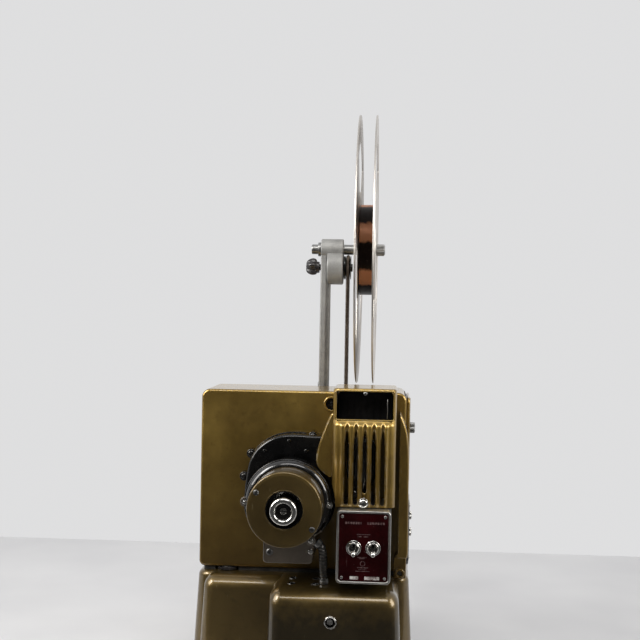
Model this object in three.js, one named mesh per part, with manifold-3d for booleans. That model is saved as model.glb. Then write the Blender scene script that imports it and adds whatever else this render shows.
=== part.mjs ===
// A 16 mm sound film projector: a die-cast head with lamphouse, motor and film path, standing on an
// amplifier base, with a feed arm above it and a take-up arm in front.
//
// Units are millimetres and +Z is up. +Y is the way the lens throws the picture, so the lamphouse, the
// motor and the switches are on the -Y side, and the film path opens towards +X.
// The parts are placed with X = 0 in the plane of the film, Y = 0 on the head's rear face and Z = 0 on the
// table. The finished group is then moved so that its origin is at the bottom centre of its own box.
import * as THREE from "three";
import { mergeVertices } from "three/addons/utils/BufferGeometryUtils.js";
import Module from "manifold-3d";

const wasm = await Module();
wasm.setup();

// ---------------------------------------------------------------- driving dimensions
const GAP = 0.3; // clearance between pieces that touch
const WALL = 3; // die-cast wall
const PLATE = 2.5; // sheet under the base
const BORE_CLEARANCE = 0.05; // radial, where a shaft or tube runs in a bore

const BASE = { left: -172, right: 52, front: 122, foot: 8, top: 118, flare: 0.055 };
const LOBE = { left: -162, centreLeft: -89, centreRight: 41, rear: -75, sideRear: -27 };

const HEAD = { left: -171.5, right: 47, front: 83, bottom: 122, top: 311.5, round: 7 };
const FRAME_X = { left: -24, right: -19 }; // the plate that separates mechanism and film path

const AXIS_Z = 238; // optical axis above the table
const MOTOR = { x: -71.8, z: 202.6 };
const SHUTTER = { x: -36, z: 238 };
const FILM_WIDTH = 16;

const LEVELLER = { x: -141.5, y: 8 };

const LAMP_HOUSE = { left: -28, right: 36, rear: -64, top: 319.5, bottom: 200.5, round: 10 };
const VENT = { left: -24.5, right: 33.5, bottom: 289.5, top: 316.5 };
const SWITCH_BOX = { left: -21.5, right: 32.5, bottom: 127.5, top: 199.8, rear: -78 };

const ARM = { left: -52.5, right: -41.5, y: 100 };
const FEED = { pivotZ: 296, y: 100, z: 467 };
const TAKE_UP = { pivotZ: 150, y: 297, z: 165 };
const REEL_RADIUS = 152.5;
const FLANGE_X = 9.4;
const BELT = { x: -21.6, radius: 2.2, pitch: 12.2 };
const REWIND_Z = 446.4; // the rewind shaft, in the feed arm under its spindle
const SPINDLE_TEETH = 20;
const REWIND_TEETH = 28;

const DOOR_HINGE = { x: HEAD.right + 2.9, y: HEAD.front - 0.5 };
const LATCH = [0, 14, 273.7];
const KNOB_Z = [174.2, 156.2];
const FEED_SPROCKET = [50, 271]; // y, z of each shaft across the film path
const TAKE_UP_SPROCKET = [50, 205];
const SOUND_DRUM = [26, 197];

const GEAR_TEETH = 20;
const SHAFT_BORE = 3.4 + BORE_CLEARANCE;
// Polar angle and radius of the spiral casing about the motor's axis.
const VOLUTE = [[200, 46.6], [177, 47.6], [159, 50], [147, 53.6], [137, 57.8], [126, 61.6], [111, 64.6],
  [99, 65.8], [88, 66.2], [78, 67.2]];
const VOLUTE_LUGS = [[-114.6, 246.4], [-121.6, 222.6], [-50.4, 266]];
const VOLUTE_OUTLET = { top: 266.6, bottom: 232 };

const VENT_PITCH = 9;
const VENT_SLOTS = [-2, -1, 0, 1, 2].map((i) => ({ x: 4.9 + i * VENT_PITCH, low: i === 0 ? 214.5 : 202.5 }));
const TOGGLE_X = [-4.1, 15.1];
const TOGGLE_Z = 163.4;
const TOGGLE_TILT = 16;

// ---------------------------------------------------------------- materials
const paint = (color, roughness = 0.4, metalness = 0.3) =>
  new THREE.MeshStandardMaterial({ color, roughness, metalness });
const GOLD = paint(0x7a6234, 0.32, 0.55);
const BLACK = paint(0x15140f, 0.35, 0.1);
const CAST_GREY = paint(0x8b8c88, 0.55, 0.5);
const STEEL = paint(0x9c9a96, 0.35, 0.9);
const CHROME = paint(0xc8c6c2, 0.12, 1);
const ALUMINIUM = paint(0xb4afa6, 0.38, 0.9);
const BAKELITE = paint(0x17161a, 0.3, 0);
const RUBBER = paint(0x1c1b1a, 0.85, 0);
const MAROON = paint(0x3a0a12, 0.45, 0.1);
const FILM = paint(0x2c160c, 0.22, 0);
const GLASS = paint(0xd8e2e0, 0.05, 0);
const FELT_BROWN = paint(0x4a3526, 0.6, 0.3);
const IRON = paint(0x4a4a4c, 0.6, 0.7);

// ---------------------------------------------------------------- solids
function solidOf(geometry) {
  const loose = geometry.index ? geometry.toNonIndexed() : geometry.clone();
  const bare = new THREE.BufferGeometry().setAttribute("position", loose.getAttribute("position"));
  const merged = mergeVertices(bare, 1e-4);
  return new wasm.Manifold(
    new wasm.Mesh({
      numProp: 3,
      vertProperties: merged.attributes.position.array,
      triVerts: new Uint32Array(merged.index.array),
    }),
  );
}

function geometryOf(solid) {
  const mesh = solid.getMesh();
  const geometry = new THREE.BufferGeometry();
  geometry.setAttribute("position", new THREE.BufferAttribute(mesh.vertProperties, 3));
  geometry.setIndex(new THREE.BufferAttribute(mesh.triVerts, 1));
  geometry.computeVertexNormals();
  return geometry;
}

const joined = (first, ...others) =>
  geometryOf(others.reduce((whole, piece) => whole.add(solidOf(piece)), solidOf(first)));

const cut = (body, ...tools) =>
  geometryOf(tools.reduce((left, tool) => left.subtract(solidOf(tool)), solidOf(body)));

const common = (a, b) => geometryOf(solidOf(a).intersect(solidOf(b)));

// Turns a geometry built along +Z so that it lies along the named axis.
function laidAlong(geometry, axis) {
  if (axis === "x") {
    const basis = new THREE.Matrix4().makeBasis(
      new THREE.Vector3(0, 1, 0),
      new THREE.Vector3(0, 0, 1),
      new THREE.Vector3(1, 0, 0),
    );
    return geometry.applyMatrix4(basis);
  }
  return axis === "y" ? geometry.rotateX(Math.PI / 2) : geometry;
}

function block([x0, x1], [y0, y1], [z0, z1]) {
  return new THREE.BoxGeometry(x1 - x0, y1 - y0, z1 - z0).translate(
    (x0 + x1) / 2,
    (y0 + y1) / 2,
    (z0 + z1) / 2,
  );
}

// A solid of revolution. The profile lists [radius, place along the axis]; centre is a point on the axis.
function turned(profile, axis, [x, y, z], segments = 24) {
  const points = profile.map(([r, along]) => new THREE.Vector2(r, along));
  const area = points.reduce((sum, p, i) => {
    const q = points[(i + 1) % points.length];
    return sum + p.x * q.y - q.x * p.y;
  }, 0);
  if (area < 0) points.reverse();
  const lathe = new THREE.LatheGeometry(points, segments);
  if (axis === "x") lathe.rotateZ(-Math.PI / 2);
  if (axis === "z") lathe.rotateX(Math.PI / 2);
  return lathe.translate(x, y, z);
}

function rod(axis, radius, from, to, centre, segments = 24) {
  return turned([[0, from], [radius, from], [radius, to], [0, to]], axis, centre, segments);
}

function ring(axis, inner, outer, from, to, centre, segments = 32) {
  const profile = [[inner, from], [outer, from], [outer, to], [inner, to], [inner, from]];
  return turned(profile, axis, centre, segments);
}

function arc(cx, cy, radius, startDegrees, endDegrees, steps) {
  return Array.from({ length: steps + 1 }, (_, i) => {
    const a = THREE.MathUtils.degToRad(startDegrees + ((endDegrees - startDegrees) * i) / Math.max(steps, 1));
    return new THREE.Vector2(cx + radius * Math.cos(a), cy + radius * Math.sin(a));
  });
}

const outlineOf = (points) => points.map(([x, y]) => new THREE.Vector2(x, y));

// Corner radii run from the lower right one anticlockwise; a radius of 0 gives a sharp corner.
function roundedRectangle([x0, x1], [y0, y1], radius, steps = 3) {
  const r = Array.isArray(radius) ? radius : [radius, radius, radius, radius];
  const corner = (x, y, size, from) => arc(x, y, size, from, from + 90, size > 0 ? steps : 0);
  return [
    ...corner(x1 - r[0], y0 + r[0], r[0], -90),
    ...corner(x1 - r[1], y1 - r[1], r[1], 0),
    ...corner(x0 + r[2], y1 - r[2], r[2], 90),
    ...corner(x0 + r[3], y0 + r[3], r[3], 180),
  ];
}

// Extrudes an outline along an axis from one place to another. On x the outline's two coordinates are
// Y and Z, on y they are X and Z, and on z they are X and Y. A bevel rounds both ends inside the outline.
function extruded(outline, axis, from, to, { holes = [], bevel = 0, bevelSegments = 2 } = {}) {
  const shape = new THREE.Shape(outline);
  shape.holes = holes.map((hole) => new THREE.Path(hole));
  const geometry = new THREE.ExtrudeGeometry(shape, {
    depth: to - from - 2 * bevel,
    bevelEnabled: bevel > 0,
    bevelThickness: bevel,
    bevelSize: bevel,
    bevelOffset: -bevel,
    bevelSegments,
    curveSegments: 1,
  });
  laidAlong(geometry, axis);
  const near = from + bevel;
  const start = axis === "y" ? [0, to - bevel, 0] : axis === "x" ? [near, 0, 0] : [0, 0, near];
  return geometry.translate(...start);
}

// A rod along a curve, with flat ends square to the curve.
function pipe(points, radius, steps, sides = 8) {
  const curve = new THREE.CatmullRomCurve3(points.map((p) => new THREE.Vector3(...p)));
  const section = new THREE.Shape(arc(0, 0, radius, 0, 360 - 360 / sides, sides - 1));
  return new THREE.ExtrudeGeometry(section, { extrudePath: curve, steps, curveSegments: 1 });
}

// The teeth are straight-sided, with clearance at the tip and on both flanks.
function gearOutline(teeth, pitchRadius, depth, [cx, cy], phaseDegrees = 0) {
  const points = [];
  const pitch = 360 / teeth;
  const flanks = [[-0.29, -0.6], [-0.12, 0.4], [0.12, 0.4], [0.29, -0.6]];
  for (let i = 0; i < teeth; i++) {
    for (const [share, side] of flanks) {
      const a = THREE.MathUtils.degToRad(phaseDegrees + (i + share) * pitch);
      const r = pitchRadius + side * depth;
      points.push(new THREE.Vector2(cx + r * Math.cos(a), cy + r * Math.sin(a)));
    }
  }
  return points;
}

// A knob whose rim is fluted, turned about the x axis or another one.
function flutedKnob(axis, radius, flutes, depth, from, to, [x, y, z], phaseDegrees = 0) {
  const steps = flutes * 4;
  const outline = Array.from({ length: steps }, (_, i) => {
    const a = (2 * Math.PI * i) / steps + THREE.MathUtils.degToRad(phaseDegrees);
    const r = radius - (depth * (1 - Math.cos(flutes * a))) / 2;
    return new THREE.Vector2(r * Math.cos(a), r * Math.sin(a));
  });
  const fluted = extruded(outline, axis, from, to).translate(x, y, z);
  const chamfer = Math.min(1.2, radius / 6);
  const profile = [[0, from], [radius - chamfer, from], [radius, from + chamfer], [radius, to - chamfer],
    [radius - chamfer, to], [0, to]];
  return common(fluted, turned(profile, axis, [x, y, z], 24));
}

const model = new THREE.Group();

function add(name, geometry, material) {
  const mesh = new THREE.Mesh(geometry, material);
  mesh.name = name;
  model.add(mesh);
}

// ---------------------------------------------------------------- base and amplifier
// Widens a casting towards its foot, as the draft of the mould does.
function flared(geometry) {
  const position = geometry.getAttribute("position");
  const centreX = (BASE.left + BASE.right) / 2;
  const centreY = (LOBE.rear + BASE.front) / 2;
  const halfX = (BASE.right - BASE.left) / 2;
  const halfY = (BASE.front - LOBE.rear) / 2;
  for (let i = 0; i < position.count; i++) {
    const drop = BASE.flare * (BASE.top - position.getZ(i));
    position.setX(i, centreX + (position.getX(i) - centreX) * (1 + drop / halfX));
    position.setY(i, centreY + (position.getY(i) - centreY) * (1 + drop / halfY));
  }
  return geometry;
}

// A lobe of the rear panel: rounded at its top rear edge, extruded across the base.
function lobe(left, right, rear, topRadius) {
  const outline = [
    new THREE.Vector2(20, BASE.foot),
    new THREE.Vector2(20, BASE.top),
    ...arc(rear + topRadius, BASE.top - topRadius, topRadius, 90, 180, 5),
    new THREE.Vector2(rear, BASE.foot),
  ];
  return extruded(outline.reverse(), "x", left, right, { bevel: 6, bevelSegments: 2 });
}

function buildBase() {
  const plan = roundedRectangle([BASE.left, BASE.right], [-6, BASE.front], 12, 3);
  const shell = extruded(plan, "z", BASE.foot, BASE.top, { bevel: 4, bevelSegments: 2 });
  const outer = joined(
    shell,
    lobe(LOBE.left, LOBE.centreLeft + 8, LOBE.sideRear, 14),
    lobe(LOBE.centreLeft, LOBE.centreRight, LOBE.rear, 18),
  );
  const level = block([-400, 400], [-400, 400], [BASE.foot + PLATE + GAP, 400]);
  const cavity = joined(
    block([BASE.left + 6, BASE.right - 6], [0, BASE.front - 8], [0, BASE.top - 6]),
    block([LOBE.centreLeft + 7, LOBE.centreRight - 7], [LOBE.rear + 24, 1], [0, BASE.top - 6]),
    block([LOBE.centreLeft + 7, LOBE.centreRight - 7], [LOBE.rear + 10, LOBE.rear + 25], [0, BASE.top - 24]),
  );
  const sockets = [[-68, -24], [-44, -24], [-68, -46], [-44, -46]].map(([x, y]) =>
    rod("z", 3.2, BASE.top - 4, BASE.top + 2, [x, y, 0], 12),
  );
  const screwSeat = rod("y", 5, LOBE.rear - 6, LOBE.rear + 1.6, [-26.5, 0, 88], 16);
  const inletSeat = block([BASE.left - 9, BASE.left + 3.6], [48, 76], [30, 52]);
  const casting = cut(common(outer, level), cavity, ...sockets);
  add("base_casting", cut(flared(casting), screwSeat, inletSeat), GOLD);

  const platePlan = roundedRectangle([BASE.left - 3, BASE.right + 3], [-4, BASE.front + 3], 12, 3);
  const plate = joined(
    extruded(platePlan, "z", BASE.foot, BASE.foot + PLATE),
    block([LOBE.centreLeft, LOBE.centreRight], [LOBE.rear, 0], [BASE.foot, BASE.foot + PLATE]),
    block([LOBE.left, LOBE.centreLeft + 1], [LOBE.sideRear, 0], [BASE.foot, BASE.foot + PLATE]),
  );
  add("base_plate", plate, IRON);

  const feet = {
    foot_rear_left: [-150, 14],
    foot_rear_right: [28, -52],
    foot_front_left: [-150, 100],
    foot_front_right: [30, 100],
  };
  for (const [name, [x, y]] of Object.entries(feet)) {
    const profile = [[0, 0], [9, 0], [11, 1.5], [12, BASE.foot - GAP], [0, BASE.foot - GAP]];
    add(name, turned(profile, "z", [x, y, 0], 16), RUBBER);
  }

  const amplifier = joined(
    block([BASE.left + 12, 34], [8, BASE.front - 14], [BASE.foot + 3, BASE.foot + 5]),
    block([BASE.left + 12, -30], [8, 10], [BASE.foot + 4, BASE.foot + 34]),
    block([BASE.left + 12, -30], [8, BASE.front - 14], [BASE.foot + 32, BASE.foot + 34]),
    block([-20, 34], [20, 62], [BASE.foot + 4, BASE.foot + 55]),
    block([-12, 26], [10, 72], [BASE.foot + 14, BASE.foot + 44]),
    ...[-130, -80].map((x) =>
      turned([[0, 32], [10, 32], [10, 68], [8, 76], [0, 80]], "z", [x, 60, BASE.foot], 12),
    ),
  );
  add("amplifier", amplifier, IRON);

  const inlet = joined(
    block([BASE.left - 7.5, BASE.left + 3], [49, 75], [31, 51]),
    rod("x", 1.6, BASE.left - 9.5, BASE.left - 7, [0, 57, 41], 8),
    rod("x", 1.6, BASE.left - 9.5, BASE.left - 7, [0, 67, 41], 8),
  );
  add("mains_inlet", inlet, BAKELITE);

  const bracketOutline = [
    new THREE.Vector2(36, BASE.top + GAP),
    new THREE.Vector2(49, BASE.top + GAP),
    ...arc(43.5, 138, 5.5, 0, 90, 3),
    ...arc(41.5, 138, 5.5, 90, 180, 3),
  ];
  const bracket = joined(
    extruded(bracketOutline, "y", -12, -2, { bevel: 1, bevelSegments: 1 }),
    rod("y", 5.2, -16, -3, [42.5, 0, 124], 16),
  );
  add("head_hold_down", bracket, GOLD);

  const wheelProfile = [[0, 0], [10.4, 0], [10.8, 0.8], [10.8, 2.4], [10.4, 3.1], [3, 3.1], [3, 14], [0, 14]];
  const wheelFoot = [LEVELLER.x, LEVELLER.y, BASE.top + GAP];
  add("levelling_wheel", turned(wheelProfile, "z", wheelFoot, 20), BAKELITE);
}

// ---------------------------------------------------------------- head
function buildHead() {
  const topRound = HEAD.round;
  const coverOutline = roundedRectangle([HEAD.left, FRAME_X.left - GAP], [HEAD.bottom, HEAD.top],
    [0, 0, topRound, 5], 3);
  const coverBody = extruded(coverOutline, "y", 0, HEAD.front, { bevel: 3, bevelSegments: 2 });
  const coverHollow = block([HEAD.left + WALL + 1, FRAME_X.left + 5], [WALL, HEAD.front - WALL],
    [HEAD.bottom + WALL, HEAD.top - WALL - 1]);
  const trimmedRight = block([FRAME_X.left - 6, 0], [-1, HEAD.front + 1], [HEAD.bottom - 1, HEAD.top + 1]);
  const motorHole = rod("y", 14, -1, WALL + 1, [MOTOR.x, 0, MOTOR.z], 20);
  const endCap = extruded(roundedRectangle([FRAME_X.left - 8, FRAME_X.left - GAP], [HEAD.bottom, HEAD.top], 0),
    "y", 1.2, HEAD.front - 1.2);
  const cover = joined(cut(coverBody, trimmedRight), endCap);
  const levellerHole = rod("z", 3 + BORE_CLEARANCE, HEAD.bottom - 1, HEAD.bottom + WALL + 1,
    [LEVELLER.x, LEVELLER.y, 0], 20);
  add("mechanism_cover", cut(cover, coverHollow, motorHole, levellerHole), GOLD);

  const plateBody = block([FRAME_X.left, FRAME_X.right], [0.5, HEAD.front - 0.5],
    [HEAD.bottom, HEAD.top - 0.5]);
  const slot = joined(
    block([FRAME_X.left - 1, FRAME_X.right + 1], [6, 13], [SHUTTER.z - 44, SHUTTER.z + 44]),
    block([FRAME_X.left - 1, FRAME_X.right + 1], [10, 18.5], [SHUTTER.z - 26, SHUTTER.z + 26]),
  );
  const bores = [FEED_SPROCKET, TAKE_UP_SPROCKET, SOUND_DRUM].map(([y, z]) =>
    rod("x", 4 + BORE_CLEARANCE, FRAME_X.left - 1, FRAME_X.right + 1, [0, y, z], 20),
  );
  const standing = block([FRAME_X.left, FRAME_X.right], [20, 70], [BASE.top + GAP, HEAD.bottom + 1]);
  add("main_frame", cut(joined(plateBody, standing), slot, ...bores), GOLD);

  const left = FRAME_X.right + GAP;
  const chamberOuter = extruded(
    roundedRectangle([left, HEAD.right], [HEAD.bottom, HEAD.top], [5, topRound, 0, 0], 3),
    "y", 0, HEAD.front, { bevel: 0 });
  const lensBoss = turned([[0, -4], [18, -4], [18, 0.4], [23, 0.4], [23, 3], [20, 4], [20, 10], [0, 10]], "y",
    [0, HEAD.front, AXIS_Z], 24);
  const lensBore = rod("y", 15 + BORE_CLEARANCE, HEAD.front - 9, HEAD.front + 12, [0, 0, AXIS_Z], 24);
  const filmChamber = cut(
    joined(
      lensBoss,
      cut(chamberOuter, block([left - 1, HEAD.right + 1], [WALL, HEAD.front - WALL],
        [HEAD.bottom + WALL, HEAD.top - WALL])),
      block([left, HEAD.right], [1, HEAD.front - 1], [181, 184]),
    ),
    rod("y", 14 + BORE_CLEARANCE, -1, WALL + 1, [0, 0, AXIS_Z], 24),
    lensBore,
    block([-11, 11], [56, 76], [HEAD.top - WALL - 1, HEAD.top + 1]),
    block([-11, 11], [HEAD.front - WALL - 1, HEAD.front + 1], [196, 214]),
    block([HEAD.right - 6.6, HEAD.right - 2.8], [1, WALL + 0.2], [LATCH[2] - 4, LATCH[2] + 11]),
  );
  add("film_chamber", filmChamber, GOLD);

  const doorOutline = roundedRectangle([2.5, HEAD.front - 1], [200, HEAD.top - 5], 4, 2);
  const door = joined(
    extruded(doorOutline, "x", HEAD.right + GAP, HEAD.right + 3.2, { bevel: 1, bevelSegments: 1 }),
    rod("z", 2.4, 206, 300, [DOOR_HINGE.x, DOOR_HINGE.y, 0], 12),
  );
  const latchHole = rod("x", 3 + BORE_CLEARANCE, HEAD.right - 1, HEAD.right + 4, LATCH, 20);
  add("film_door", cut(door, latchHole), GOLD);

  const panelOutline = roundedRectangle([6, HEAD.front - 4], [128, 198], 4, 2);
  const controlPanel = extruded(panelOutline, "x", HEAD.right + GAP, HEAD.right + 4.6, {
    bevel: 1,
    bevelSegments: 1,
  });
  const spindleHoles = KNOB_Z.map((z) =>
    rod("x", 2.2 + BORE_CLEARANCE, HEAD.right - 1, HEAD.right + 6, [0, 45, z], 16),
  );
  add("control_panel", cut(controlPanel, ...spindleHoles), BAKELITE);
  ["volume_knob", "tone_knob"].forEach((name, i) => {
    const knob = joined(
      flutedKnob("x", 4.6, 8, 0.7, HEAD.right + 4.9, HEAD.right + 8.2, [0, 45, KNOB_Z[i]]),
      rod("x", 2.2, HEAD.right - 4, HEAD.right + 5.5, [0, 45, KNOB_Z[i]], 16),
    );
    add(name, knob, CHROME);
  });

  const latch = joined(
    flutedKnob("x", 5.6, 10, 0.8, HEAD.right + 3.5, HEAD.right + 9.2, LATCH),
    rod("x", 3, HEAD.right - 6, HEAD.right + 4.5, LATCH, 20),
    block([HEAD.right - 6, HEAD.right - 3.4], [LATCH[1] - 2.4, LATCH[1] + 2.4], [LATCH[2], LATCH[2] + 12.6]),
  );
  add("door_latch_knob", latch, STEEL);
}

// ---------------------------------------------------------------- film path, shutter and lens
function buildFilmPath() {
  const sprocket = (y, z, wheelRadius) => {
    const profile = [
      [0, -52], [4, -52], [4, -42.2], [wheelRadius, -42.2], [wheelRadius, -34.2], [4, -34.2],
      [4, -14], [9.7, -14], [9.7, -6.4], [7.6, -6.4], [7.6, 6.4], [9.7, 6.4], [9.7, 8.4], [11, 8.4],
      [11, 10.4],
      [4, 10.4], [4, 17], [0, 17],
    ];
    const body = turned(profile, "x", [0, y, z], 20);
    const teeth = Array.from({ length: 8 }, (_, i) =>
      block([-8, -6.8], [-0.6, 0.6], [8.5, 10.9])
        .rotateX((i * Math.PI) / 4)
        .translate(0, y, z),
    );
    return joined(body, ...teeth);
  };
  add("feed_sprocket", sprocket(...FEED_SPROCKET, 22), STEEL);
  add("take_up_sprocket", sprocket(...TAKE_UP_SPROCKET, 22), STEEL);

  const drumProfile = [
    [0, -33.6], [15, -33.6], [15, -25], [4, -25], [4, -13], [11.6, -13], [11.6, -7.5], [11, -7], [11, 2],
    [0, 2],
  ];
  add("sound_drum", turned(drumProfile, "x", [0, ...SOUND_DRUM], 24), STEEL);

  const gate = cut(
    joined(
      block([-12, 12], [26, 28.5], [218, 260]),
      block([FRAME_X.right + GAP, -12], [24, 30], [218, 260]),
    ),
    block([-5.2, 5.2], [24, 30], [AXIS_Z - 3.8, AXIS_Z + 3.8]),
  );
  add("film_gate", gate, STEEL);
  // shutter disc with two blades on its shaft, the worm that drives both sprockets, and its gear
  const disc = cut(
    rod("y", 42.5, 8.5, 10, [SHUTTER.x, 0, SHUTTER.z], 32),
    ...[0, 180].map((turn) => {
      const window = [...arc(0, 0, 40, 20, 70, 5), ...arc(0, 0, 26, 70, 20, 3)];
      const tool = extruded(window, "y", 5, 13);
      return tool.rotateY((turn * Math.PI) / 180).translate(SHUTTER.x, 0, SHUTTER.z);
    }),
  );
  const worm = turned(
    [[0, 3.6], [3, 3.6], [3, 40], [9, 40], [9, 42], [7.6, 44], [9, 46], [9, 50], [7.6, 52], [9, 54], [9, 60],
      [3, 60], [3, 78], [0, 78]],
    "y", [SHUTTER.x, 0, SHUTTER.z], 12);
  const centres = Math.hypot(SHUTTER.x - MOTOR.x, SHUTTER.z - MOTOR.z);
  const line = THREE.MathUtils.radToDeg(Math.atan2(SHUTTER.z - MOTOR.z, SHUTTER.x - MOTOR.x));
  const shutterGear = extruded(
    gearOutline(GEAR_TEETH, centres / 2, 3.6, [SHUTTER.x, SHUTTER.z], line + 180 + 180 / GEAR_TEETH),
    "y", 12, 17);
  add("shutter", joined(disc, worm, shutterGear), BLACK);

  const motorGear = extruded(gearOutline(GEAR_TEETH, centres / 2, 3.6, [MOTOR.x, MOTOR.z], line), "y", 12, 17);
  const shaft = turned(
    [[0, -106], [3.4, -106], [3.4, -2], [4, -2], [4, 20], [0, 20]], "y", [MOTOR.x, 0, MOTOR.z], 16);
  add("motor_shaft", joined(shaft, motorGear), STEEL);

  // lens
  const barrel = turned(
    [[12, 33], [15, 33], [15, 96], [17.5, 98], [17.5, 134], [15.5, 136], [13, 136], [13, 131], [10, 131],
      [10, 40], [12, 40], [12, 33]],
    "y", [0, 0, AXIS_Z], 24);
  add("lens_barrel", barrel, ALUMINIUM);
  const glass = [[0, 124], [9.7, 124], [9.7, 127.5], [6, 129.2], [0, 129.8]];
  add("lens_front_glass", turned(glass, "y", [0, 0, AXIS_Z], 24), GLASS);
}

// ---------------------------------------------------------------- motor and blower
function buildMotor() {
  const at = [MOTOR.x, 0, MOTOR.z];
  // The spiral casing grows from the left over the top, then runs straight to its outlet on the right.
  const outletX = LAMP_HOUSE.left - GAP;
  const volute = (shrink, reach) => [
    ...VOLUTE.flatMap(([angle, r]) => arc(MOTOR.x, MOTOR.z, r - shrink, angle, angle, 0)),
    new THREE.Vector2(outletX + reach, VOLUTE_OUTLET.top - shrink),
    new THREE.Vector2(outletX + reach, VOLUTE_OUTLET.bottom + shrink),
    ...arc(MOTOR.x, MOTOR.z, 47 - shrink, 33, -150, 12),
  ].reverse();
  const casing = cut(
    extruded(volute(0, 0), "y", -34, -GAP, { bevel: 1.5, bevelSegments: 1 }),
    extruded(volute(2.5, 6), "y", -31.5, -3),
    rod("y", 20, -6, 1, at, 20),
    rod("y", 26, -36, -30, at, 24),
  );
  const lugs = VOLUTE_LUGS.map(([x, z]) => rod("y", 4.8, -22, -8, [x, 0, z], 12));
  const inside = extruded(volute(2.5, 6), "y", -31.5, -3);
  add("blower_housing", cut(joined(casing, ...lugs), inside), BLACK);

  const hubProfile = [[SHAFT_BORE, -28], [10, -28], [38, -10], [38, -8], [SHAFT_BORE, -8], [SHAFT_BORE, -28]];
  const hub = turned(hubProfile, "y", at, 24);
  const blades = Array.from({ length: 10 }, (_, i) =>
    block([-0.8, 0.8], [-28, -9.4], [27, 37.5]).rotateY((i * Math.PI) / 5).translate(...at),
  );
  const rim = ring("y", 34, 38, -28, -26.5, at, 24);
  add("blower_impeller", joined(hub, rim, ...blades), ALUMINIUM);

  const body = turned(
    [[SHAFT_BORE, -66], [40, -66], [41.5, -62], [41.5, -38], [38, -34.4], [SHAFT_BORE, -34.4],
      [SHAFT_BORE, -66]],
    "y", at, 32);
  add("motor_body", body, BLACK);
  const cap = turned(
    [[18.4, -101.5], [34.6, -101.5], [36.8, -99.3], [37.4, -66.4], [34.6, -66.4], [34.6, -98], [21, -98], [21, -78],
      [SHAFT_BORE, -78], [SHAFT_BORE, -80.5], [18.4, -80.5], [18.4, -101.5]],
    "y", at, 32);
  add("motor_end_cap", cap, GOLD);
  const knob = turned(
    [[SHAFT_BORE, -105.5], [7.6, -105.5], [8.6, -110], [11.4, -111.6], [13.6, -109], [13.6, -100], [12, -98],
      [12, -90], [SHAFT_BORE, -90], [SHAFT_BORE, -105.5]],
    "y", at, 24);
  add("inching_knob", knob, CHROME);

  const footOutline = [
    ...arc(-50, 145.5, 4, -90, 0, 2),
    new THREE.Vector2(-44.5, 170),
    ...arc(MOTOR.x, MOTOR.z, 44.5, -40, 0, 3),
    ...arc(MOTOR.x, MOTOR.z, 44.5, 20, 200, 12),
    ...arc(MOTOR.x, MOTOR.z, 44.5, 212, 232, 2),
    new THREE.Vector2(-96, 168),
    ...arc(-92, 145.5, 4, 180, 270, 2),
  ];
  const bracket = cut(
    joined(
      extruded(footOutline, "y", -61, -54, { bevel: 1, bevelSegments: 1 }),
      block([-94, -46], [-54.5, -GAP], [142.6, 150]),
      block([-94, -46], [-6, -GAP], [142.6, 166]),
    ),
    rod("y", 42, -70, -30, at, 40),
    rod("y", 48.6, -35, 1, at, 40),
  );
  add("motor_bracket", bracket, GOLD);

  const route = [[-42, -57, 163], [-37.5, -57, 159], [-35.8, -56, 152], [-35.6, -52, 142], [-35.4, -46, 130],
    [-35, -44, BASE.top + 4]];
  const conduit = joined(
    pipe(route, 4.2, 16, 10),
    rod("z", 6, BASE.top + GAP, BASE.top + 6, [-35, -44, 0], 12),
  );
  add("motor_conduit", conduit, IRON);
}


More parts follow.
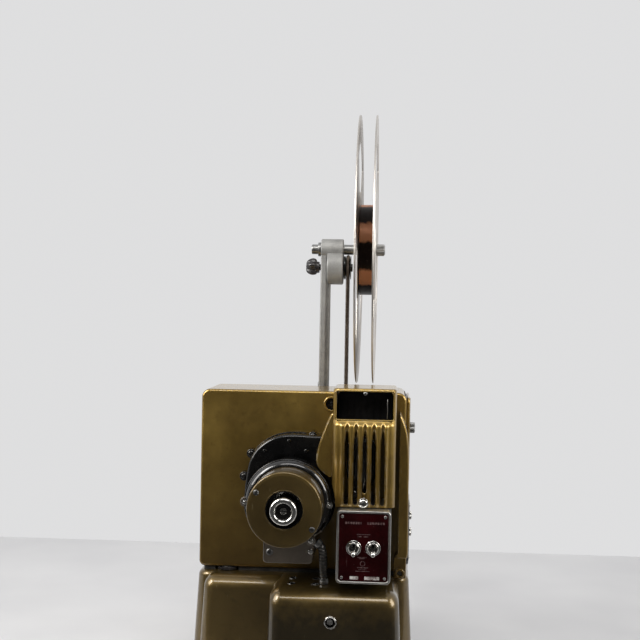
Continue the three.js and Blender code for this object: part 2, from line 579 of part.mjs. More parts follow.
// ---------------------------------------------------------------- lamphouse and switches
function buildLamphouse() {
  const { left, right, rear, top, bottom, round } = LAMP_HOUSE;
  const plan = roundedRectangle([left, right], [rear, -GAP], [round, 0, 0, round], 4);
  const inside = roundedRectangle([left + 2.5, right - 2.5], [rear + 2.5, 4], [round - 2, 0, 0, round - 2], 4);
  const slots = VENT_SLOTS.map(({ x, low }) => {
    const outline = roundedRectangle([x - 2.7, x + 2.7], [low, 279], 2.6, 3);
    return extruded(outline, "y", rear - 4, rear + 6);
  });
  const ribs = [-1, ...VENT_SLOTS.keys()].map((i) => {
    const x = VENT_SLOTS[0].x + (i + 0.5) * VENT_PITCH;
    return rod("z", 1.7, 204, 284, [x, rear + 0.4, 0], 10);
  });
  const shell = cut(
    extruded(plan, "z", bottom, top, { bevel: 0 }),
    extruded(inside, "z", bottom - 1, top - 2.5),
    block([VENT.left, VENT.right], [rear - 1, rear + 8], [VENT.bottom, VENT.top]),
    rod("y", 48, rear - 1, 1, [MOTOR.x, 0, MOTOR.z], 40),
    ...slots,
  );
  const screwHole = rod("y", 2.4, rear - 6, rear + 6, [4.4, 0, 206], 10);
  add("lamphouse_cover", cut(joined(shell, ...ribs), screwHole), GOLD);

  const screw = joined(
    turned([[0, -8.4], [3.4, -8.4], [4.3, -7.4], [4.3, -3.4], [5, -3.4], [5, -2.4], [0, -2.4]], "y",
      [4.4, rear - 1, 206], 16),
    rod("y", 2, -4, 12, [4.4, rear, 206], 10),
  );
  add("lamphouse_screw", cut(screw, block([3.7, 5.1], [rear - 12, rear - 8.4], [200, 212])), CHROME);

  const baffle = joined(
    block([VENT.left + 2, VENT.right - 2], [rear + 18, rear + 19.5], [284, top - 3.2]),
    block([VENT.left + 2, VENT.right - 2], [rear + 18, -12], [283, 284.6]),
  );
  add("lamphouse_baffle", cut(baffle, rod("z", 15, 280, 290, [4, -32, 0], 20)), BLACK);

  // side casting around the lower lamphouse, with the air duct from the blower
  const leftWing = outlineOf([
    [left - GAP, 294], [-31.5, 290], [-37.5, 275], [-41.8, 262], [-44.5, 249], [-43.6, 241], [-39.5, 235],
    [-32, 229.5], [left - GAP, 228],
  ]);
  add("blower_duct", extruded(leftWing, "y", -52, -35, { bevel: 1, bevelSegments: 1 }), GOLD);
  const sideInner = right + 4;
  const rightWing = outlineOf([
    [sideInner, 146], [48.5, 146], [50.2, 150], [49.5, 242], [48.8, 260], [47.4, 273], [44.5, 284], [41.5, 291],
    [sideInner, 294],
  ]);
  add("lamphouse_side", extruded(rightWing, "y", -44, -GAP, { bevel: 1, bevelSegments: 1 }), GOLD);

  const bulb = [[0, -36], [7, -36], [7, -26], [12, -19], [15, -10], [15, 20], [12, 28], [6, 31], [0, 31.6]];
  add("projection_lamp", turned(bulb, "z", [1, -34, AXIS_Z], 20), GLASS);
  const socketFloor = SWITCH_BOX.top + GAP;
  const socket = joined(
    block([-17, 19], [-50, -8], [socketFloor, socketFloor + 1.6]),
    turned([[7.4, 201], [13, 201], [13, 211], [7.4, 211], [7.4, 201]], "z", [1, -34, 0], 20),
  );
  add("lamp_socket", socket, BAKELITE);
  const condenser = [[0, -7], [7, -6.2], [12, -4.4], [14, -3.4], [14, 2.6], [0, 2.6]];
  add("condenser_lens", turned(condenser, "y", [0, 0, AXIS_Z], 24), GLASS);
}

function buildSwitches() {
  const { left, right, bottom, top, rear } = SWITCH_BOX;
  const outline = roundedRectangle([left, right], [bottom, top], 4, 3);
  const inner = roundedRectangle([left + 2.2, right - 2.2], [bottom + 2.2, top - 2.2], 2.4, 3);
  const frame = cut(
    extruded(outline, "y", rear, -GAP, { bevel: 1, bevelSegments: 1 }),
    extruded(inner, "y", rear - 2, rear + 2.4),
    block([left + 5, right - 5], [rear + 1, -4], [bottom + 8, top - 8]),
  );
  add("switch_box", frame, ALUMINIUM);
  const plateOutline = roundedRectangle([left + 2.5, right - 2.5], [bottom + 2.5, top - 2.5], 2.2, 3);
  const plate = extruded(plateOutline, "y", rear + 0.8, rear + 2.1);
  const bushingHoles = TOGGLE_X.map((x) => rod("y", 5.6, rear - 2, rear + 4, [x, 0, TOGGLE_Z], 16));
  add("switch_plate", cut(plate, ...bushingHoles), MAROON);
  TOGGLE_X.forEach((x, i) => {
    const name = ["motor", "lamp"][i];
    const bushing = turned(
      [[4.2, -3.2], [5.2, -3.2], [5.6, -1.4], [7.6, -1], [7.8, 0.5], [5.2, 0.5], [5.2, 16], [8, 16], [8, 30],
        [0, 30], [0, 11], [4.2, 11], [4.2, -3.2]],
      "y", [x, rear, TOGGLE_Z], 20);
    add(`${name}_switch_body`, bushing, CHROME);
    const batProfile = [[0, -14], [1.9, -13.2], [2.5, -11.6], [2.3, -9.5], [1.5, -2], [1.5, 7.5], [0, 8.2]];
    const bat = turned(batProfile, "y", [0, 0, 0], 12);
    bat.rotateX(THREE.MathUtils.degToRad(TOGGLE_TILT)).translate(x, rear + 1, TOGGLE_Z);
    add(`${name}_switch_lever`, bat, CHROME);
  });
}

// ---------------------------------------------------------------- arms, reel and belts
// The profile of a pulley with a wide left flange and a flat groove round x.
const PULLEY = [
  [BELT.pitch + 1.1, BELT.x - 4.6], [BELT.pitch + 1.1, BELT.x - 2.6], [BELT.pitch - 2.6, BELT.x - 2.6],
  [BELT.pitch - 2.6, BELT.x + 2.6], [BELT.pitch + 1.1, BELT.x + 2.6], [BELT.pitch + 1.1, BELT.x + 3.6],
];

// A belt loop in the plane x = BELT.x round two equal pulleys.
function beltLoop([y0, z0], [y1, z1]) {
  const line = THREE.MathUtils.radToDeg(Math.atan2(z1 - z0, y1 - y0));
  const r = BELT.pitch + GAP;
  const half = BELT.radius;
  const loop = (radius) => [
    ...arc(y1, z1, radius, line - 90, line + 90, 10),
    ...arc(y0, z0, radius, line + 90, line + 270, 10),
  ];
  return extruded(loop(r + half), "x", BELT.x - half, BELT.x + half, { holes: [loop(r - half)] });
}

function buildFeedArm() {
  const { left, right, y } = ARM;
  const profile = [...arc(y, FEED.pivotZ, 13, 180, 360, 10), ...arc(y, FEED.z, 9.5, 0, 180, 8)];
  const ribProfile = [...arc(y, FEED.pivotZ, 10, 180, 360, 8), ...arc(y, FEED.z, 6, 0, 180, 6)];
  const solid = joined(
    extruded(profile, "x", left, right - 4, { bevel: 1.2, bevelSegments: 1 }),
    extruded(ribProfile, "x", right - 6, right),
    rod("x", 12, left, -27, [0, y, FEED.z], 28),
    rod("x", 19.5, -45, -27, [0, y, REWIND_Z], 32),
  );
  add(
    "feed_arm",
    cut(
      solid,
      rod("x", 6 + BORE_CLEARANCE, left - 1, right + 1, [0, y, FEED.pivotZ], 24),
      rod("x", 4 + BORE_CLEARANCE, left - 1, -26, [0, y, FEED.z], 20),
      rod("x", 3.5 + BORE_CLEARANCE, left - 1, -26, [0, y, REWIND_Z], 20),
      rod("x", 13.4, -40.8, -31.2, [0, y, REWIND_Z], 28),
      rod("x", 10, -40.8, -31.2, [0, y, FEED.z], 28),
    ),
    CAST_GREY,
  );
}

function buildReel() {
  const at = [0, ARM.y, FEED.z];
  const spindle = turned(
    [[0, -63.5], [5.6, -63.5], [5.6, -56], [8, -56], [8, -53], [4, -53], [4, -26.4], [5.8, -26.4], [5.8, -12],
      [4, -12], [4, 10.6], [6.6, 10.6], [6.6, 20.4], [0, 20.4]],
    "x", at, 20);
  const slot = block([-66, -60], [ARM.y - 0.9, ARM.y + 0.9], [FEED.z - 8, FEED.z + 8]);
  const gear = armGear(FEED.z, SPINDLE_TEETH, 270 + 180 / SPINDLE_TEETH);
  add("feed_spindle", cut(joined(spindle, gear), slot), STEEL);

  const windows = [90, 210, 330].map((start) => [
    ...arc(ARM.y, FEED.z, 122, start - 38, start + 38, 7),
    ...arc(ARM.y, FEED.z, 66, start + 30, start - 30, 4),
  ]);
  const rim = arc(ARM.y, FEED.z, REEL_RADIUS, 0, 360 - 360 / 48, 47);
  const flange = (x) => extruded(rim, "x", x - 0.6, x + 0.6, { holes: windows });
  const reel = cut(
    joined(flange(-FLANGE_X), flange(FLANGE_X), rod("x", 16, -FLANGE_X, FLANGE_X, at, 24)),
    rod("x", 4 + BORE_CLEARANCE, -12, 12, at, 20),
  );
  add("feed_reel", reel, ALUMINIUM);
  add("film_roll", ring("x", 16.3, 51.5, -FILM_WIDTH / 2, FILM_WIDTH / 2, at, 32), FILM);
}

// The two gears inside the arm's housing, which turn the reel from the rewind shaft. A tooth of the lower
// one points straight up, between two teeth of the upper one.
function armGear(z, teeth, phaseDegrees) {
  const pitchRadius = ((FEED.z - REWIND_Z) * teeth) / (SPINDLE_TEETH + REWIND_TEETH);
  return extruded(gearOutline(teeth, pitchRadius, 1.7, [ARM.y, z], phaseDegrees), "x", -40, -32);
}

function buildRewind() {
  const at = [0, ARM.y, REWIND_Z];
  const shaft = turned(
    [[0, -62], [3.5, -62], [3.5, BELT.x - 4.6], ...PULLEY, [4.6, BELT.x + 3.6], [4.6, BELT.x + 5.2],
      [0, BELT.x + 5.2]],
    "x", at, 20);
  add("rewind_shaft", joined(shaft, armGear(REWIND_Z, REWIND_TEETH, 90)), BLACK);
  const knob = flutedKnob("x", 10.4, 5, 3.4, -69.6, -54.4, at, 20);
  add("rewind_knob", cut(knob, rod("x", 3.8, -62.6, -50, at, 16)), BAKELITE);
  add("feed_belt", beltLoop([ARM.y, FEED.pivotZ], [ARM.y, REWIND_Z]), FELT_BROWN);
}

// The shaft and pulley that run in an arm's hollow post.
function pivotShaft(z) {
  const profile = [[0, -64], [4, -64], [4, BELT.x - 4.6], ...PULLEY, [4, BELT.x + 3.6], [4, BELT.x + 5],
    [0, BELT.x + 5]];
  return turned(profile, "x", [0, ARM.y, z], 20);
}

// One casting on the head's front face carries both arms. Each arm turns on a hollow post of it, and the
// drive pulley's shaft runs inside the post.
function buildArmMount() {
  const [low, high] = [TAKE_UP.pivotZ, FEED.pivotZ];
  const mount = joined(
    block([-62, -27], [HEAD.front + GAP, HEAD.front + 4], [low - 15, high + 13]),
    ...[low, high].map((z) =>
      joined(
        block([-39.5, -28], [HEAD.front + 3.6, ARM.y - 4], [z - 9, z + 9]),
        rod("x", 11, -39.5, -28, [0, ARM.y, z], 24),
        rod("x", 6, -60, -38, [0, ARM.y, z], 24),
      ),
    ),
  );
  const bores = [low, high].map((z) => rod("x", 4 + BORE_CLEARANCE, -70, -20, [0, ARM.y, z], 20));
  add("arm_mount", cut(mount, ...bores), CAST_GREY);
  add("feed_drive_pulley", pivotShaft(high), BLACK);
  add("take_up_drive_pulley", pivotShaft(low), BLACK);
}

function buildTakeUpArm() {
  const { left, right } = ARM;
  const line = THREE.MathUtils.radToDeg(Math.atan2(TAKE_UP.z - TAKE_UP.pivotZ, TAKE_UP.y - ARM.y));
  const outline = [
    ...arc(ARM.y, TAKE_UP.pivotZ, 13, line + 90, line + 270, 10),
    ...arc(TAKE_UP.y, TAKE_UP.z, 10, line - 90, line + 90, 8),
  ];
  const arm = cut(
    joined(
      extruded(outline, "x", left, right, { bevel: 1.4, bevelSegments: 1 }),
      rod("x", 11, left, -27, [0, TAKE_UP.y, TAKE_UP.z], 24),
    ),
    rod("x", 6 + BORE_CLEARANCE, left - 1, -20, [0, ARM.y, TAKE_UP.pivotZ], 24),
    rod("x", 4 + BORE_CLEARANCE, left - 1, -20, [0, TAKE_UP.y, TAKE_UP.z], 20),
  );
  add("take_up_arm", arm, CAST_GREY);
  const spindle = turned(
    [[0, -61], [5.6, -61], [5.6, -56], [7.6, -56], [7.6, -53], [4, -53], [4, BELT.x - 4.6],
      ...PULLEY, [5.8, BELT.x + 3.6], [5.8, -11.6], [3.8, -11.6], [3.8, 12], [5.6, 12], [5.6, 19], [0, 19]],
    "x", [0, TAKE_UP.y, TAKE_UP.z], 20);
  add("take_up_spindle", spindle, STEEL);
  add("take_up_belt", beltLoop([ARM.y, TAKE_UP.pivotZ], [TAKE_UP.y, TAKE_UP.z]), FELT_BROWN);
}

buildBase();
buildHead();
buildFilmPath();
buildMotor();
buildLamphouse();
buildSwitches();
buildFeedArm();
buildReel();
buildRewind();
buildArmMount();
buildTakeUpArm();

// The origin goes to the bottom centre of the whole object's box.
model.updateMatrixWorld(true);
const box = new THREE.Box3().setFromObject(model, true);
const centre = box.getCenter(new THREE.Vector3());
model.position.set(-centre.x, -centre.y, -box.min.z);

export default model;
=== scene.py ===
"""Looks of a 16 mm sound film projector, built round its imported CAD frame.

Shapes are written in the CAD's own millimetres (X = 0 in the film plane, Y = 0 on the head's rear face,
Z = 0 on the table) and are moved into the shared frame, in metres, as each mesh is made.
"""
from math import acos, atan2, cos, degrees, hypot, pi, radians, sin, tan

import bmesh
import bpy
import numpy as np
from mathutils import Matrix, Vector
from mathutils.geometry import tessellate_polygon


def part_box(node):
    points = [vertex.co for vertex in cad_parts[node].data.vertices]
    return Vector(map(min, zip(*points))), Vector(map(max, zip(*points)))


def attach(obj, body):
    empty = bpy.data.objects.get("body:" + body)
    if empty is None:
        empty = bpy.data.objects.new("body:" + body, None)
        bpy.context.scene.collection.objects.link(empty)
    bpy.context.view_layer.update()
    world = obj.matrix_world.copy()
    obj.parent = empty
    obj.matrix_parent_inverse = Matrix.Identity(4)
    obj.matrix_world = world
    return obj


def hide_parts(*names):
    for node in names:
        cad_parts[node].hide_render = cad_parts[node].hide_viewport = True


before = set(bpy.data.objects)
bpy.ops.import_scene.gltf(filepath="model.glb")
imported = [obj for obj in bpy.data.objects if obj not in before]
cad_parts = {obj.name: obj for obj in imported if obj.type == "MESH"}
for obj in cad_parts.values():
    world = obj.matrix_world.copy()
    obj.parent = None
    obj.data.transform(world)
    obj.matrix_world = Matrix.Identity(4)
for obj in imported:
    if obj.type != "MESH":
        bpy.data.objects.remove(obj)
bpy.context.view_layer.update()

MM = 0.001
_low, _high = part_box("film_roll")
FILM_CENTRE = (_low + _high) / 2
X0 = (_low.x + _high.x) / 2
Y0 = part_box("mechanism_cover")[0].y
ORIGIN = np.array([X0, Y0, 0.0])
SCENE = bpy.context.scene

# The axes that several pieces share, in millimetres.
MX, MZ = -71.8, 202.6
MOTOR_AT = (MX, 0, MZ)
LENS_AT = (0, 0, 238)
PORT_AT = (-32.5, 0, 298)
SHUTTER_AT = (-36, 0, 238)
HINGE_AT = (49.9, 82.5, 0)
WHEEL_AT = (-141.5, 8, 0)
AY, REWIND_Z, FEED_Z = 100, 446.4, 467
FEED_AT = (0, AY, FEED_Z)
REWIND_AT = (0, AY, REWIND_Z)
DRIVE_Z, TAKE_UP_DRIVE_Z = 296, 150
TAKE_UP = (297, 165)
TAKE_UP_AT = (0, *TAKE_UP)
PULLEY_X = -21.6
LATCH_AT = (0, 14, 273.7)
BASE_SCREW_AT = (-26.5, 0, 88)
LAMP_AT = (1, -34, 238)
VENT_X = 4.9
KNOB_Z = {"volume_knob": 174.2, "tone_knob": 156.2}
SWITCH_Z = 163.4
SWITCH_X = {"motor": -4.1, "lamp": 15.1}


# ---------------------------------------------------------------- outlines
def polar(cx, cy, r, a):
    return cx + r * cos(a), cy + r * sin(a)


def arc(cx, cy, r, start, end, n=12):
    return [polar(cx, cy, r, a) for a in np.radians(np.linspace(start, end, n + 1))]


def circle(cx, cy, r, n=48):
    return arc(cx, cy, r, 0, 360 - 360 / n, n - 1)


def rounded(x0, x1, y0, y1, radius, n=8):
    """A rectangle whose corner radii run from the lower right one anticlockwise."""
    r = [radius] * 4 if np.isscalar(radius) else radius
    corners = ((x1 - r[0], y0 + r[0], -90), (x1 - r[1], y1 - r[1], 0),
               (x0 + r[2], y1 - r[2], 90), (x0 + r[3], y0 + r[3], 180))
    out = []
    for (cx, cy, a), rr in zip(corners, r):
        out += arc(cx, cy, rr, a, a + 90, n) if rr > 0 else [(cx, cy)]
    return out


def fillet(points, n=5, closed=True):
    """Rounds the corners that carry a third number, their radius."""
    out, count = [], len(points)
    for i, p in enumerate(points):
        if len(p) < 3 or p[2] <= 0 or (not closed and i in (0, count - 1)):
            out.append((p[0], p[1]))
            continue
        here = np.array(p[:2], float)
        a = np.array(points[i - 1][:2], float) - here
        b = np.array(points[(i + 1) % count][:2], float) - here
        la, lb = np.linalg.norm(a), np.linalg.norm(b)
        a, b = a / la, b / lb
        half = acos(float(np.clip(a @ b, -0.9999, 0.9999))) / 2
        reach = min(p[2] / tan(half), la * 0.49, lb * 0.49)
        r = reach * tan(half)
        centre = here + (a + b) / np.linalg.norm(a + b) * (r / sin(half))
        s, e = here + a * reach - centre, here + b * reach - centre
        a0 = atan2(s[1], s[0])
        d = (atan2(e[1], e[0]) - a0 + pi) % (2 * pi) - pi
        out += [polar(*centre, r, a0 + d * k / n) for k in range(n + 1)]
    return out


def smooth_line(points, per=10):
    """A Catmull-Rom curve through points of any dimension."""
    p = np.array(points, float)
    last = len(p) - 1
    out = []
    for i in range(last):
        a, b, c, d = p[max(i - 1, 0)], p[i], p[i + 1], p[min(i + 2, last)]
        for t in np.arange(per) / per:
            bend = (2 * a - 5 * b + 4 * c - d) * t * t + (3 * b - a - 3 * c + d) * t ** 3
            out.append(0.5 * (2 * b + (c - a) * t + bend))
    return [tuple(q) for q in out + [p[-1]]]


def scallops(r, lobes, depth, n=8, phase=0.0):
    steps = lobes * n
    out = []
    for i in range(steps):
        a = 2 * pi * i / steps
        out.append(polar(0, 0, r - depth * (0.5 - 0.5 * cos(lobes * a)), a + radians(phase)))
    return out


ROUNDED_TOOTH = ((-0.29, -0.6), (-0.2, -0.1), (-0.12, 0.4), (0.12, 0.4), (0.2, -0.1), (0.29, -0.6))


def cog(u, v, pitch, teeth, depth, phase, tooth=ROUNDED_TOOTH):
    """A gear. A tooth lists (share of the turn between teeth, share of the depth beyond the pitch circle)."""
    return [polar(u, v, pitch + rise * depth, radians(phase + (i + share) * 360 / teeth))
        for i in range(teeth) for share, rise in tooth]


# ---------------------------------------------------------------- solids
class Geo:
    """Vertices in millimetres, faces, and a material number for each face."""

    def __init__(self, verts, faces, mat=0):
        self.v = np.array(verts, float).reshape(-1, 3)
        self.f = list(faces)
        self.m = [mat] * len(self.f) if np.isscalar(mat) else list(mat)

    def __add__(self, other):
        n = len(self.v)
        faces = self.f + [tuple(i + n for i in f) for f in other.f]
        return Geo(np.vstack([self.v, other.v]), faces, self.m + other.m)

    def painted(self, mat):
        return Geo(self.v, self.f, mat)

    def moved(self, x=0, y=0, z=0):
        return Geo(self.v + (x, y, z), self.f, self.m)

    def transformed(self, matrix):
        m = np.array(matrix)
        return Geo(self.v @ m[:3, :3].T + m[:3, 3], self.f, self.m)

    def turned(self, angle, axis):
        return self.transformed(Matrix.Rotation(angle, 4, axis))


def merged(parts):
    return sum(parts[1:], parts[0])


AXES = {"x": lambda u, v, w: (w, u, v), "y": lambda u, v, w: (u, w, v), "z": lambda u, v, w: (u, v, w)}


def _wound(loop, anticlockwise):
    p = np.array(loop, float)
    p = p[np.linalg.norm(p - np.roll(p, 1, 0), axis=1) > 1e-5]
    q = np.roll(p, -1, 0)
    area = float((p[:, 0] * q[:, 1] - q[:, 0] * p[:, 1]).sum())
    return p if (area > 0) == anticlockwise else p[::-1]


def _inset(p, d):
    if d < 1e-9:
        return p
    e = np.roll(p, -1, 0) - p
    e /= np.linalg.norm(e, axis=1)[:, None]
    n = np.stack([-e[:, 1], e[:, 0]], 1)
    before = np.roll(n, 1, 0)
    share = np.maximum(1 + (n * before).sum(1), 0.35)
    return p + (n + before) / share[:, None] * d


def _bridge(a, b):
    """Quads between two rings of vertex numbers."""
    n = len(a)
    return [(a[i], a[(i + 1) % n], b[(i + 1) % n], b[i]) for i in range(n)]


def prism(outline, axis, a, b, bevel=0.0, steps=4, holes=(), mat=0):
    """An outline extruded along an axis, with both ends' edges rounded inside it, and its holes' too."""
    loops = [_wound(outline, True)] + [_wound(h, False) for h in holes]
    turns = np.linspace(0, pi / 2, steps + 1) if bevel > 0 else [pi / 2]
    rings = [(a + bevel * (1 - cos(t)), bevel * (1 - sin(t))) for t in turns]
    rings += [(b - bevel * (1 - cos(t)), bevel * (1 - sin(t))) for t in turns[::-1]]
    place = AXES[axis]
    verts, faces, ids = [], [], []
    for w, d in rings:
        row = []
        for loop in loops:
            row.append(list(range(len(verts), len(verts) + len(loop))))
            verts += [place(u, v, w) for u, v in _inset(loop, d)]
        ids.append(row)
    for r0, r1 in zip(ids, ids[1:]):
        for l0, l1 in zip(r0, r1):
            faces += _bridge(l0, l1)
    for end in (0, -1):
        flat = [[Vector((u, v, 0)) for u, v in _inset(loop, rings[end][1])] for loop in loops]
        index = sum(ids[end], [])
        faces += [tuple(index[i] for i in t) for t in tessellate_polygon(flat)]
    return Geo(verts, faces, mat)


def slab(box, *place, **more):
    """A prism on a rounded rectangle."""
    return prism(rounded(*box), *place, **more)


def lathe(profile, axis, centre, segs=64, mat=0, closed=False):
    """A turned solid. The profile lists (radius, place along the axis, corner radius)."""
    place = AXES[axis]
    verts, ids = [], []
    for r, w in fillet(profile, 4, closed):
        if r < 1e-6:
            ids.append([len(verts)] * segs)
            verts.append(place(0, 0, w))
            continue
        ids.append(list(range(len(verts), len(verts) + segs)))
        verts += [place(*polar(0, 0, r, 2 * pi * k / segs), w) for k in range(segs)]
    faces = []
    for a, b in zip(ids, ids[1:] + ids[:closed]):
        faces += [face for face in (tuple(dict.fromkeys(quad)) for quad in _bridge(a, b)) if len(face) > 2]
    return Geo(np.array(verts) + centre, faces, mat)


def hoop(profile, axis, centre, segs=64, mat=0):
    """A turned ring. Its profile closes on itself."""
    return lathe(profile, axis, centre, segs, mat, True)


def rod(r, a, b, axis, centre, segs=64, mat=0):
    return lathe([(0, a), (r, a), (r, b), (0, b)], axis, centre, segs, mat)


def pipe(r0, r1, a, b, axis, centre, segs=64, mat=0):
    return hoop([(r0, a), (r1, a), (r1, b), (r0, b)], axis, centre, segs, mat)


def sweep(points, radius, sides=12, closed=False, mat=0):
    """A tube along points. The radius may be a function of the length so far and the angle round."""
    p = np.array(points, float)
    n = len(p)
    tangent = np.roll(p, -1, 0) - np.roll(p, 1, 0) if closed else np.gradient(p, axis=0)
    tangent /= np.linalg.norm(tangent, axis=1)[:, None]
    first = np.cross(tangent[0], (0.31, 0.17, 0.93))  # across the path, whichever way it sets off
    normal = first / np.linalg.norm(first)
    length, verts = 0.0, []
    for i in range(n):
        if i:
            length += float(np.linalg.norm(p[i] - p[i - 1]))
            normal = normal - tangent[i] * (normal @ tangent[i])
            normal /= np.linalg.norm(normal)
        side = np.cross(tangent[i], normal)
        for k in range(sides):
            t = 2 * pi * k / sides
            r = radius(length, t) if callable(radius) else radius
            verts.append(p[i] + (normal * cos(t) + side * sin(t)) * r)
    rings = [range(i * sides, (i + 1) * sides) for i in range(n)]
    faces = []
    for a, b in zip(rings, rings[1:] + rings[:closed]):
        faces += _bridge(a, b)
    if not closed:
        faces += [tuple(rings[0]), tuple(rings[-1])]
    return Geo(verts, faces, mat)


def loft(rings, mat=0):
    """Closed rings of one point count joined in order, with both ends filled."""
    n = len(rings[0])
    ids = [range(i * n, (i + 1) * n) for i in range(len(rings))]
    faces = []
    for a, b in zip(ids, ids[1:]):
        faces += _bridge(a, b)
    for end in (0, -1):
        flat = [Vector(p) for p in rings[end]]
        faces += [tuple(ids[end][i] for i in t) for t in tessellate_polygon([flat])]
    return Geo(np.vstack([np.array(r, float) for r in rings]), faces, mat)


def _linked(name, verts, faces):
    mesh = bpy.data.meshes.new(name)
    mesh.from_pydata(verts, [], faces)
    obj = bpy.data.objects.new(name, mesh)
    SCENE.collection.objects.link(obj)
    return obj


def _object(name, geo, materials):
    obj = _linked(name, [tuple(p) for p in geo.v * MM + ORIGIN], geo.f)
    mesh = obj.data
    for m in materials:
        mesh.materials.append(m)
    mesh.polygons.foreach_set("material_index", geo.m)
    work = bmesh.new()
    work.from_mesh(mesh)
    bmesh.ops.recalc_face_normals(work, faces=work.faces)
    work.to_mesh(mesh)
    work.free()
    return obj


def boolean(geo, tools, operation="DIFFERENCE"):
    """Cuts tools out of a solid, or joins them to it. A cut face keeps its tool's material number."""
    fill = [bpy.data.materials.get(f"_slot{i}") or bpy.data.materials.new(f"_slot{i}") for i in range(3)]
    body = _object("_body", geo, fill)
    others = [_object("_tool", t, fill) for t in tools]
    for other in others:
        step = body.modifiers.new("cut", "BOOLEAN")
        step.operation, step.object, step.solver = operation, other, "EXACT"
    bpy.context.view_layer.update()
    done = bpy.data.meshes.new_from_object(body.evaluated_get(bpy.context.evaluated_depsgraph_get()))
    verts = (np.array([v.co for v in done.vertices]) - ORIGIN) / MM
    faces = [tuple(p.vertices) for p in done.polygons]
    mats = [p.material_index for p in done.polygons]
    for obj in [body] + others:
        old = obj.data
        bpy.data.objects.remove(obj)
        bpy.data.meshes.remove(old)
    bpy.data.meshes.remove(done)
    return Geo(verts, faces, mats)


def piece(name, geo, mats, replaces=None, body="chassis", angle=38):
    """Makes one finished object that rides on a body, in its first material's slot unless one is given."""
    mats = mats if isinstance(mats, list) else [mats]
    obj = _object(name, merged(geo) if isinstance(geo, list) else geo, mats)
    mesh = obj.data
    mesh.polygons.foreach_set("use_smooth", [True] * len(mesh.polygons))
    mesh.set_sharp_from_angle(angle=radians(angle))
    even = obj.modifiers.new("even", "WEIGHTED_NORMAL")
    even.keep_sharp = True
    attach(obj, body)
    if replaces:
        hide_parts(replaces)


def aimed(geo, at, scale=1.0, spin=0.0, to=(0, -1, 0)):
    """A shape made round the origin with its axis up, put at a point and aimed along a direction."""
    turn = Vector((0, 0, 1)).rotation_difference(Vector(to)).to_matrix().to_4x4()
    spun = Matrix.Rotation(radians(spin), 4, "Z") @ Matrix.Scale(scale, 4)
    return geo.transformed(Matrix.Translation(at) @ turn @ spun)


# ---------------------------------------------------------------- fasteners, with a head radius of 1
def _slotted():
    head = lathe([(0, -0.6), (1, -0.6), (1, 0.42, 0.16), (0.7, 0.6, 0.2), (0, 0.68)], "z", (0, 0, 0), 32)
    return boolean(head, [slab((-2, 2, -0.13, 0.13, 0), "z", 0.3, 2)])


def _crossed():
    head = lathe([(0, -0.6), (1, -0.6), (1, 0.1, 0.1), (0.75, 0.42, 0.3), (0, 0.55)], "z", (0, 0, 0), 32)
    return boolean(head, [slab((-0.62, 0.62, -0.15, 0.15, 0.05, 2), "z", 0.12, 2),
        slab((-0.15, 0.15, -0.62, 0.62, 0.05, 2), "z", 0.12, 2)])


SLOTTED = _slotted()
CROSSED = _crossed()
HEX_NUT = boolean(prism(circle(0, 0, 1, 6), "z", -0.1, 0.75),
    [hoop([(2, -0.2), (2, 0.9), (0.82, 0.9), (1.02, 0.66), (1.02, -0.2)], "z", (0, 0, 0), 32)]) + lathe([(0,
    0), (0.5, 0), (0.5, 1.15, 0.12), (0, 1.15)], "z", (0, 0, 0), 24)
DOME_NUT = lathe([(0, -0.2), (1.25, -0.2), (1.25, 0.12, 0.08), (1.0, 0.14), (0.98, 0.5, 0.2),
    (0.7, 1.05, 0.3), (0, 1.2)], "z", (0, 0, 0), 32)


